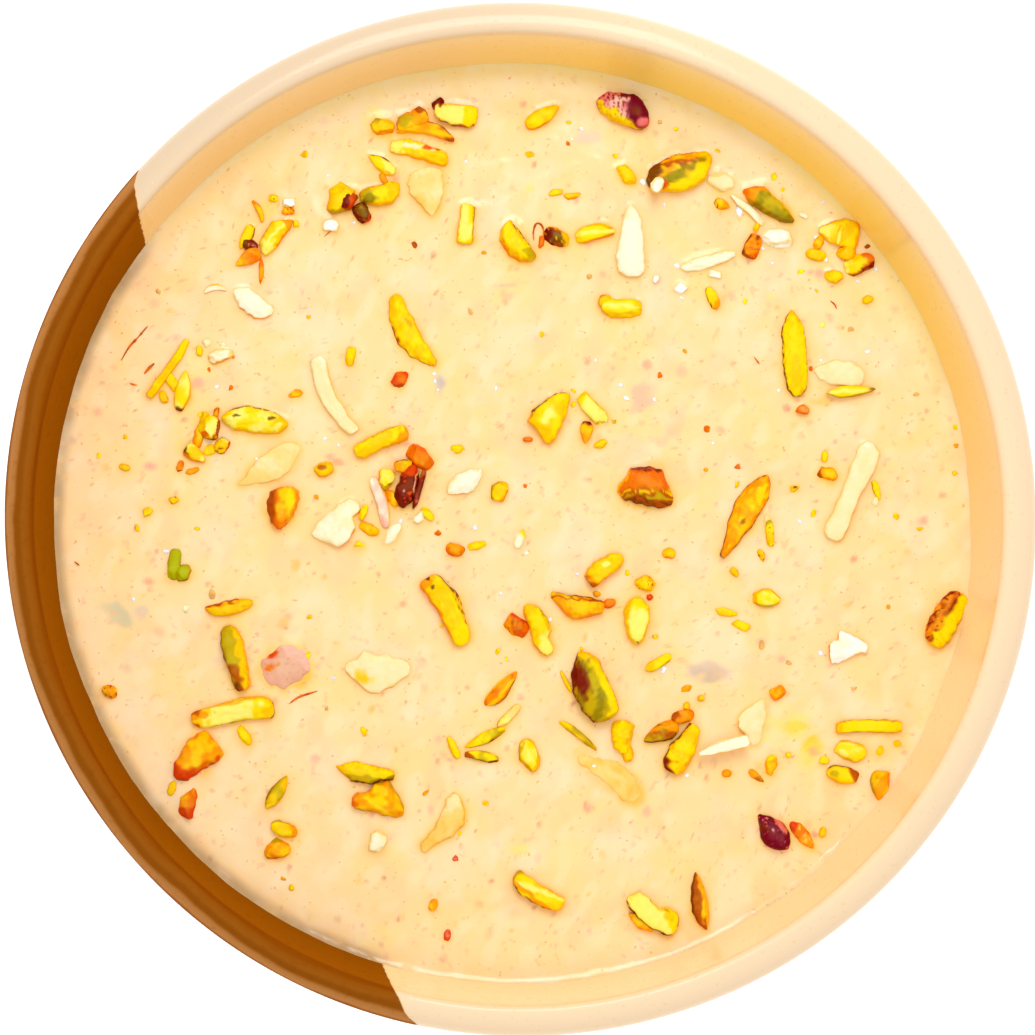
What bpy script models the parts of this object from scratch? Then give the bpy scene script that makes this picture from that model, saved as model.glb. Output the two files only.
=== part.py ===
"""Kheer, a cooled rice pudding, in its round glazed bowl, with cut pistachios and almonds on top.

Metres, +Z up. The origin is the bottom centre of the bowl's foot, where the bowl rests.
"""
import math

import bmesh
import bpy
import numpy as np

MM = 0.001

# Driving dimensions of the bowl.
BOWL_RADIUS = 82.5 * MM
BOWL_HEIGHT = 60.0 * MM
LIP_WIDTH = 5.2 * MM
FOOT_RADIUS = 34.5 * MM
FOOT_HEIGHT = 5.0 * MM
FLOOR_HEIGHT = 9.0 * MM

# The lip is two quarter ellipses that meet at its crest.
CREST_RADIUS = BOWL_RADIUS - 4.0 * MM
OUTER_LIP_DROP = 3.0 * MM
INNER_LIP_DROP = 1.0 * MM
WALL_RADIUS = BOWL_RADIUS - LIP_WIDTH

# Both walls are superellipses: a high belly power makes a wide bowl, and the side power sets how the
# wall leans.
BELLY_POWER = 2.6
SIDE_POWER = 1.68
OUTER_DEPTH = 55.5 * MM
INNER_DEPTH = BOWL_HEIGHT - INNER_LIP_DROP - FLOOR_HEIGHT

# The foot is a ring with a small chamfer on both edges and a shallow recess inside it.
FOOT_RING_WIDTH = 4.0 * MM
FOOT_CHAMFER = 0.6 * MM
FOOT_RECESS = 2.5 * MM

# The cavity, and all that fills it, sits a little off the axis of the outside. The lip is wider on one side.
CAVITY_SHIFT = np.array((-0.75 * MM, -0.3 * MM, 0.0))

# Kheer fills the bowl to this level, and every piece keeps this gap to its neighbours.
KHEER_LEVEL = 47.0 * MM
GAP = 0.3 * MM

TURN_SEGMENTS = 54
FLOOR_TURN = math.radians(80)

# A topping is a loft of six-sided sections at these places along it, from its tail at -1 to its head at 1.
RING_STATIONS = np.array((-0.96, -0.68, 0.0, 0.68, 0.96))
SECTION_SIDES = 6

# This part of a topping's thickness stands above the level of the kheer.
EXPOSED_PART = 0.55

# How each form of topping is cut: power of its tail end and of its head end (1.3 is pointed, 2 round and
# 4 square), shift of its widest place along it, width of its flat top, and how uneven its cut faces are.
FORMS = {
    "bar": (4.5, 4.0, 0.0, 0.78, 0.02),
    "stick": (3.0, 3.4, 0.0, 0.72, 0.03),
    "kernel": (2.2, 2.2, 0.0, 0.58, 0.03),
    "leaf": (2.4, 1.4, -0.12, 0.64, 0.03),
    "teardrop": (3.2, 1.4, -0.22, 0.74, 0.02),
    "wedge": (3.6, 1.4, -0.22, 0.78, 0.05),
    "chunk": (2.8, 2.6, 0.0, 0.72, 0.08),
    "flake": (2.5, 2.2, 0.0, 0.86, 0.05),
}

# Every topping that is as large as a small berry, in millimetres and degrees, seen from above:
# form, x and y from the middle of the kheer, heading of its head end, length, width, thickness, bend of its
# middle to the left.
PISTACHIOS = (
    ("bar", -10.2, 66.4, -5, 7.4, 4.0, 3.0, 0.0),
    ("leaf", -16.2, 60.0, 173, 10.0, 3.8, 2.4, 0.0),
    ("kernel", -22.6, 53.2, 18, 7.0, 3.8, 3.0, 0.0),
    ("bar", -8.3, 48.3, -85, 7.0, 3.1, 2.6, 0.0),
    ("chunk", 0.2, 45.5, -52, 7.8, 4.8, 3.4, 0.0),
    ("kernel", 41.4, 52.0, -32, 10.2, 4.4, 3.6, 0.0),
    ("kernel", 53.1, 47.6, -10, 7.0, 4.8, 2.2, 0.0),
    ("stick", -57.1, 24.4, 58, 11.6, 2.5, 1.8, 0.3),
    ("leaf", -42.6, 16.2, -6, 11.1, 4.7, 3.2, 0.3),
    ("leaf", -17.2, 30.5, -61, 13.9, 4.2, 2.6, -0.4),
    ("stick", -22.4, 12.9, 22, 9.6, 3.0, 2.4, 0.3),
    ("wedge", 5.1, 17.1, 70, 9.2, 5.2, 3.0, 0.5),
    ("leaf", 45.5, 27.7, 93, 14.9, 4.3, 2.6, 0.0),
    ("stick", -46.0, -31.2, 9, 13.8, 3.6, 2.8, 0.2),
    ("stick", -11.4, -14.7, -58, 12.9, 3.8, 3.0, 0.5),
    ("kernel", 3.3, -17.8, -60, 9.2, 3.5, 3.0, 0.7),
    ("kernel", 19.5, -16.3, 90, 8.1, 4.5, 3.2, 0.0),
    ("chunk", 18.1, -35.2, 90, 5.6, 3.5, 2.6, 0.0),
    ("kernel", 26.8, -37.1, 62, 9.0, 4.0, 3.0, 0.0),
    ("bar", 3.1, -60.3, -33, 9.6, 3.8, 3.0, 0.3),
    ("stick", 21.7, -63.8, -36, 9.8, 4.4, 3.0, 0.4),
    ("bar", 57.5, -33.4, 2, 11.3, 2.8, 2.4, 0.2),
    ("leaf", -24.8, -41.0, 169, 9.9, 3.0, 2.4, 0.0),
)
TOASTED_PISTACHIOS = (
    ("chunk", -17.4, 65.2, 20, 5.6, 3.5, 2.6, 0.0),
    ("kernel", -39.7, 46.2, 50, 7.6, 3.3, 2.8, 0.0),
    ("chunk", -37.9, 1.7, 90, 7.2, 4.7, 3.2, 0.0),
    ("leaf", 37.1, 0.7, 239, 16.0, 4.6, 3.0, 0.0),
    ("leaf", -46.7, -14.3, 188, 8.0, 3.0, 2.4, 0.0),
    ("kernel", -46.3, -22.7, -75, 11.2, 3.9, 3.2, 0.0),
    ("chunk", -52.0, -38.7, 38, 9.0, 5.0, 3.4, 0.0),
    ("bar", 14.2, -8.0, 35, 7.2, 3.4, 2.8, 0.0),
    ("chunk", 9.5, -14.1, -10, 9.2, 3.8, 2.8, 0.0),
    ("leaf", 29.8, -61.7, 100, 9.8, 3.2, 2.6, 0.0),
    ("chunk", -22.7, -46.6, -5, 8.8, 4.8, 3.2, 0.0),
)
SKINNED_PISTACHIOS = (
    ("kernel", 17.3, 67.2, -22, 9.7, 5.0, 4.0, 0.0),
    ("kernel", 26.8, 57.0, 20, 12.0, 5.8, 4.0, 0.0),
    ("chunk", -17.9, 5.3, 72, 7.6, 4.2, 3.4, 0.0),
    ("chunk", 21.0, 5.7, -8, 9.6, 6.4, 4.2, 0.0),
    ("wedge", 12.4, -27.0, -63, 12.4, 5.2, 4.2, 0.0),
    ("kernel", 69.1, -15.3, 62, 10.2, 4.4, 3.6, 0.0),
    ("kernel", 41.7, -50.6, -50, 7.6, 4.6, 3.4, 0.0),
)
ALMONDS = (
    ("wedge", -14.7, 53.4, -80, 8.2, 5.6, 1.4, 0.0),
    ("teardrop", 18.5, 46.0, 92, 12.4, 4.9, 2.0, 0.0),
    ("leaf", 31.2, 42.7, 194, 9.8, 2.4, 1.8, 0.0),
    ("kernel", -42.9, 35.4, -25, 7.5, 4.0, 2.0, -0.5),
    ("flake", -40.5, 8.8, 28, 12.0, 4.6, 1.2, 0.0),
    ("stick", -29.1, 20.4, -60, 14.2, 2.4, 1.8, -0.7),
    ("leaf", -8.7, 6.2, 35, 7.0, 3.6, 2.0, 0.0),
    ("flake", -29.3, -0.5, 40, 9.4, 5.8, 1.8, 0.0),
    ("flake", 53.0, 24.5, -15, 8.5, 4.0, 1.4, 0.0),
    ("stick", 54.8, 5.0, 70, 18.0, 4.3, 2.2, 0.0),
    ("flake", -22.8, -24.6, -8, 10.7, 5.6, 1.6, 0.0),
    ("flake", 38.2, -32.7, 80, 8.0, 4.2, 1.2, 0.0),
    ("kernel", -12.1, -49.4, 60, 11.1, 4.4, 2.2, -0.5),
    ("wedge", 53.9, -19.9, 15, 6.8, 5.2, 2.0, 0.0),
)
# This almond sliver lies across a flake, so it is raised to clear it.
RAISED_ALMOND = ("stick", 33.2, -36.6, 20, 8.6, 2.4, 1.6, 0.0)
RAISED_LIFT = 1.8 * MM
# A soaked almond flake and a soaked petal of skin lie almost wholly in the kheer.
SOAKED_ALMOND = ("flake", 14.8, -41.4, -35, 14.0, 4.8, 1.4, 0.0)
SOAKED_SKIN = ("flake", -37.7, -24.0, 20, 8.8, 7.0, 1.6, 0.0)
SOAKED_LIFT = -0.5 * MM

GLAZE = ("glaze", (0.93, 0.82, 0.62), 0.12)
KHEER = ("kheer", (0.98, 0.84, 0.60), 0.28)
PISTACHIO = ("pistachio", (0.95, 0.72, 0.05), 0.40)
TOASTED = ("toasted_pistachio", (0.90, 0.45, 0.02), 0.40)
SKIN = ("pistachio_skin", (0.35, 0.06, 0.05), 0.35)
ALMOND = ("almond", (0.99, 0.93, 0.78), 0.45)


def clear_scene():
    for obj in list(bpy.data.objects):
        bpy.data.objects.remove(obj, do_unlink=True)


def material(name, colour, roughness):
    """A plain surface of one colour; the same name gives the same material."""
    found = bpy.data.materials.get(name)
    if found:
        return found
    made = bpy.data.materials.new(name)
    made.use_nodes = True
    shader = made.node_tree.nodes["Principled BSDF"]
    shader.inputs["Base Color"].default_value = (*colour, 1.0)
    shader.inputs["Roughness"].default_value = roughness
    return made


def solid(name, rings, finish, home=None):
    """A closed object over rings of equal point count: each ring joins the next, and both ends are filled.

    It goes into the home collection, or else straight into the scene.
    """
    ring_count, around = rings.shape[:2]
    mesh = bpy.data.meshes.new(name)
    bm = bmesh.new()
    verts = [bm.verts.new(point) for point in rings.reshape(-1, 3)]
    loops = [verts[start:start + around] for start in range(0, ring_count * around, around)]
    for low, high in zip(loops, loops[1:]):
        for place in range(around):
            after = (place + 1) % around
            bm.faces.new((low[place], low[after], high[after], high[place]))
    bm.faces.new(loops[0][::-1])
    bm.faces.new(loops[-1])
    bmesh.ops.recalc_face_normals(bm, faces=bm.faces)
    bm.to_mesh(mesh)
    bm.free()
    mesh.shade_smooth()
    mesh.set_sharp_from_angle(angle=math.radians(35))
    mesh.materials.append(material(*finish))
    obj = bpy.data.objects.new(name, mesh)
    (home or bpy.context.scene.collection).objects.link(obj)
    return obj


def turned(name, profile, finish, shifted):
    """A body turned about Z: the profile's (radius, height) points become rings.

    Each ring's middle is moved by its share of the cavity's shift.
    """
    angle = np.arange(TURN_SEGMENTS) * (2 * math.pi / TURN_SEGMENTS)
    radius, height = profile[:, :1], profile[:, 1:]
    rings = np.stack((radius * np.cos(angle), radius * np.sin(angle), height + 0 * angle), axis=-1)
    return solid(name, rings + shifted[:, None, None] * CAVITY_SHIFT, finish)


def quarter(centre, half_width, half_height, start, stop, steps):
    """Points on an ellipse between two angles in degrees, 0 pointing outwards and 90 up."""
    angle = np.radians(np.linspace(start, stop, steps + 1))
    return np.column_stack((centre[0] + half_width * np.cos(angle), centre[1] + half_height * np.sin(angle)))


def wall(radius, top, depth, turn):
    """Points on a wall that hangs from its top edge as a superellipse.

    The turn runs from 0 at the top edge to a quarter circle at the middle of the floor.
    """
    reach = radius * np.cos(turn) ** (2 / BELLY_POWER)
    drop = depth * np.sin(turn) ** (2 / SIDE_POWER)
    return np.column_stack((reach, top - drop))


def turn_at(drop, depth):
    """The turn of the wall at a height below its top edge."""
    return math.asin((drop / depth) ** (SIDE_POWER / 2))


INNER_TOP = BOWL_HEIGHT - INNER_LIP_DROP
LEVEL_TURN = turn_at(INNER_TOP - KHEER_LEVEL, INNER_DEPTH)
# The kheer and the wall it touches are turned from the same places, so the gap between them is even.
WETTED_TURNS = np.linspace(LEVEL_TURN, FLOOR_TURN, 6)


def make_bowl():
    """Foot, outer wall, lip and inner wall in one turned profile, from below the foot to the floor inside."""
    inner_foot = FOOT_RADIUS - FOOT_RING_WIDTH
    foot = np.array((
        (inner_foot - 1.5 * FOOT_CHAMFER, FOOT_RECESS),
        (inner_foot, FOOT_CHAMFER),
        (inner_foot + FOOT_CHAMFER, 0.0),
        (FOOT_RADIUS - FOOT_CHAMFER, 0.0),
        (FOOT_RADIUS, FOOT_CHAMFER),
    ))
    outer_top = BOWL_HEIGHT - OUTER_LIP_DROP
    foot_turn = turn_at(outer_top - FOOT_HEIGHT, OUTER_DEPTH)
    outer = wall(BOWL_RADIUS, outer_top, OUTER_DEPTH, np.linspace(foot_turn, 0, 7))[:-1]
    outer_lip = quarter((CREST_RADIUS, outer_top), BOWL_RADIUS - CREST_RADIUS, OUTER_LIP_DROP, 0, 90, 4)
    inner_lip = quarter((CREST_RADIUS, INNER_TOP), CREST_RADIUS - WALL_RADIUS, INNER_LIP_DROP, 90, 180, 2)[1:]
    dry = wall(WALL_RADIUS, INNER_TOP, INNER_DEPTH, np.array((LEVEL_TURN / 2,)))
    wetted = wall(WALL_RADIUS, INNER_TOP, INNER_DEPTH, WETTED_TURNS)
    parts = (foot, outer, outer_lip, inner_lip, dry, wetted)
    outside, inside = len(foot) + len(outer), len(dry) + len(wetted)
    over_lip = np.linspace(0, 1, len(outer_lip) + len(inner_lip))
    shifted = np.concatenate((np.zeros(outside), over_lip, np.ones(inside)))
    turned("bowl", np.concatenate(parts), GLAZE, shifted)


def make_kheer():
    """The pudding: the bowl's inside up to the level, drawn in by the gap square to the wall."""
    edge = wall(WALL_RADIUS, INNER_TOP, INNER_DEPTH, WETTED_TURNS)
    run = np.gradient(edge, axis=0)
    inward = np.column_stack((run[:, 1], -run[:, 0])) / np.linalg.norm(run, axis=1)[:, None]
    profile = edge + GAP * inward
    profile[0, 1] = KHEER_LEVEL
    profile[-1, 1] = edge[-1, 1] + GAP
    return turned("kheer", profile[::-1], KHEER, np.ones(len(profile)))


def topping_rings(row, grow, seed):
    """Sections of a topping along X: width and thickness follow the power of the end they are nearest."""
    form, length, width, thickness, bend = row[0], *row[4:]
    tail, head, shift, flat, uneven = FORMS[form]
    rng = np.random.default_rng(seed)
    power = np.where(RING_STATIONS < 0, tail, head)
    full = (1 - np.abs(RING_STATIONS) ** power) ** (1 / power)
    hump = 1 - RING_STATIONS ** 2
    along = length / 2 * MM * (RING_STATIONS + shift * hump) + grow * RING_STATIONS
    side_wobble, rise_wobble = 1 + uneven * rng.uniform(-1, 1, (2, len(full), SECTION_SIDES))
    side = width / 2 * MM * full[:, None] * side_wobble + grow
    rise = thickness / 2 * MM * np.sqrt(full)[:, None] * rise_wobble + grow
    across = np.array((1, flat, -flat, -1, -flat, flat))
    up = np.array((0, 1, 1, 0, -1, -1))
    x = np.repeat(along[:, None], SECTION_SIDES, axis=1)
    y = bend * MM * (hump[:, None] - 0.5) + side * across
    return np.stack((x, y, rise * up), axis=-1)


def place(obj, row, lift):
    """Stands a topping in the surface, part of its thickness above the level."""
    _, x, y, heading, _, _, thickness, _ = row
    height = KHEER_LEVEL + (EXPOSED_PART - 0.5) * thickness * MM + lift
    obj.location = (x * MM + CAVITY_SHIFT[0], y * MM + CAVITY_SHIFT[1], height)
    obj.rotation_euler = (0, 0, math.radians(heading))


def make_toppings():
    """Every topping, and for each a cutter that is larger by the gap, which makes its pocket in the kheer."""
    pockets = bpy.data.collections.new("pockets")
    bpy.context.scene.collection.children.link(pockets)
    groups = (
        ("pistachio", PISTACHIOS, PISTACHIO, 0.0),
        ("toasted_pistachio", TOASTED_PISTACHIOS, TOASTED, 0.0),
        ("skinned_pistachio", SKINNED_PISTACHIOS, SKIN, 0.0),
        ("almond", ALMONDS, ALMOND, 0.0),
        ("raised_almond", (RAISED_ALMOND,), ALMOND, RAISED_LIFT),
        ("soaked_almond", (SOAKED_ALMOND,), ALMOND, SOAKED_LIFT),
        ("soaked_skin", (SOAKED_SKIN,), SKIN, SOAKED_LIFT),
    )
    seed = 0
    for kind, rows, finish, lift in groups:
        for number, row in enumerate(rows, start=1):
            seed += 1
            name = f"{kind}_{number:02d}"
            place(solid(name, topping_rings(row, 0.0, seed), finish), row, lift)
            cutter = solid(f"pocket_{name}", topping_rings(row, GAP, seed), KHEER, pockets)
            place(cutter, row, lift)
            cutter.hide_render = True
            cutter.display_type = "WIRE"
    return pockets


def main():
    clear_scene()
    make_bowl()
    kheer = make_kheer()
    pockets = make_toppings()
    cut = kheer.modifiers.new("pockets", "BOOLEAN")
    cut.operation = "DIFFERENCE"
    cut.operand_type = "COLLECTION"
    cut.collection = pockets
    cut.solver = "EXACT"


main()
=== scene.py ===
"""The looks of a bowl of kheer: a two-tone glazed bowl, the pudding in it, and its cut nuts and saffron.

Sizes are in millimetres up to the last step of each piece, where MM turns them into metres.
Compass points name directions seen from above: E is +X and N is +Y.
"""
import math
import zlib

import bpy
import numpy as np
from mathutils import Matrix, Vector


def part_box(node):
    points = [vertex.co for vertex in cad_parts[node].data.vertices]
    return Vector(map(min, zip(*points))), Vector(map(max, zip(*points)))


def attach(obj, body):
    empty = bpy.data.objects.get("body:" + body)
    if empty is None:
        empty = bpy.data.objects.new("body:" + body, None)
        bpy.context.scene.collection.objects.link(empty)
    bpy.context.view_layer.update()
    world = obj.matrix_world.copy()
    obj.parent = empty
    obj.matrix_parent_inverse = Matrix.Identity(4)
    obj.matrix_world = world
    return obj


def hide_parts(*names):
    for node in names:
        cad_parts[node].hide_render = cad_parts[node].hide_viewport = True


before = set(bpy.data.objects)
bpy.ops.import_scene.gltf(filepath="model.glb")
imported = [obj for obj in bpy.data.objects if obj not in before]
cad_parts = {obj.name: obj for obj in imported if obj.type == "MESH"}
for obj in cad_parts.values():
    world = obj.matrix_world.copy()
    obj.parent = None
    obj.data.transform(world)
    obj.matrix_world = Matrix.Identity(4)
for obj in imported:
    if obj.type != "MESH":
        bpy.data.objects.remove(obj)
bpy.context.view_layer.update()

MM = 0.001
COMPASS = {"E": 0, "NE": 45, "N": 90, "NW": 135, "W": 180, "SW": 225, "S": 270, "SE": 315}

# Sizes that come from the frame.
BOWL_LOW, BOWL_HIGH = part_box("bowl")
BOWL_RADIUS = BOWL_HIGH.x / MM
RIM = BOWL_HIGH.z / MM
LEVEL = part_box("kheer")[1].z / MM

# The bowl's own lines, the same as those of the solid that it stands for. Its cavity and all that fills it sit
# a little off the axis of its outside, so those pieces are made round the middle of the kheer and then moved.
CAVITY_SHIFT = np.array([-0.75, -0.3, 0.0])
LIP_WIDTH = 5.2
LIP_OUTSIDE = 5.5
LIP_INSIDE = 1.7
CREST_RADIUS = BOWL_RADIUS - 4.0
WALL_RADIUS = BOWL_RADIUS - LIP_WIDTH
OUTER_TOP = RIM - 3.0
INNER_TOP = RIM - 1.0
FOOT_RADIUS = 34.5
FOOT_HEIGHT = 5.0
FOOT_RING_WIDTH = 4.0
FOOT_RECESS = 2.5
FLOOR_HEIGHT = 9.0
OUTER_DEPTH = 55.5
INNER_DEPTH = INNER_TOP - FLOOR_HEIGHT
BELLY_POWER = 2.6
SIDE_POWER = 1.68

# The bowl was dipped sideways: brown glaze covers what lies beyond this distance towards this compass angle.
DIP_HEADING = 198.5
DIP_DISTANCE = 43.0

# Colours of the finishes, as a screen shows them from 0 to 255.
PAINT = {
    "lemon": (255, 240, 104), "yellow": (255, 222, 0), "gold": (255, 200, 0), "amber": (255, 158, 0),
    "orange": (240, 112, 0), "flame": (228, 70, 8), "rust": (186, 82, 0), "brown": (124, 66, 0),
    "mahogany": (120, 18, 0), "wine": (118, 0, 28), "pink": (236, 118, 112), "rose": (250, 190, 168),
    "olive": (202, 166, 0), "moss": (152, 126, 0), "ivory": (255, 246, 214), "cream": (255, 236, 182),
    "honey": (255, 214, 120), "tan": (232, 178, 98), "white": (255, 255, 250), "milk": (255, 230, 166), "syrup": (255, 198, 84),
    "grey": (206, 196, 176), "lime": (180, 176, 0), "shell": (234, 172, 138),
}

# How each form of cut piece is made: power of its tail end and of its head end (1.3 is pointed, 2 round and
# 4 square), shift of its widest place along it, how much narrower its head is than its tail, the sides of its section as (degrees, reach), how crisp the
# edges between them are, how uneven it is, how many cuts trim it, and how much of it the deepest of them keeps.
SLAB = ((90, 1.0), (0, 1.0), (180, 1.0), (270, 1.0), (40, 1.22), (140, 1.22))
DOME = ((90, 1.0), (0, 1.0), (180, 1.0), (270, 1.0), (42, 1.12), (138, 1.12))
RIDGE = ((66, 0.92), (128, 0.94), (0, 1.0), (180, 1.0), (270, 1.0), (24, 1.05))
BLOCK = ((100, 1.0), (8, 1.0), (172, 1.0), (270, 1.0), (54, 1.06), (146, 1.0))
FORMS = {
    "bar": (4.5, 4.0, 0.0, 0.0, SLAB, 18, 0.04, 4, 0.86),
    "stick": (3.0, 3.4, 0.0, 0.1, SLAB, 14, 0.06, 4, 0.84),
    "taper": (3.6, 3.0, 0.0, 0.45, SLAB, 14, 0.05, 3, 0.88),
    "kernel": (2.3, 2.3, 0.0, 0.0, DOME, 11, 0.05, 5, 0.84),
    "leaf": (2.4, 1.5, -0.12, 0.0, RIDGE, 10, 0.05, 4, 0.84),
    "teardrop": (3.2, 1.4, -0.22, 0.0, DOME, 9, 0.03, 2, 0.9),
    "wedge": (3.6, 1.6, -0.1, 0.3, SLAB, 16, 0.06, 4, 0.82),
    "chunk": (3.0, 2.8, 0.0, 0.0, BLOCK, 18, 0.08, 7, 0.68),
    "flake": (2.6, 2.3, 0.0, 0.15, SLAB, 14, 0.08, 6, 0.74),
}

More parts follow.
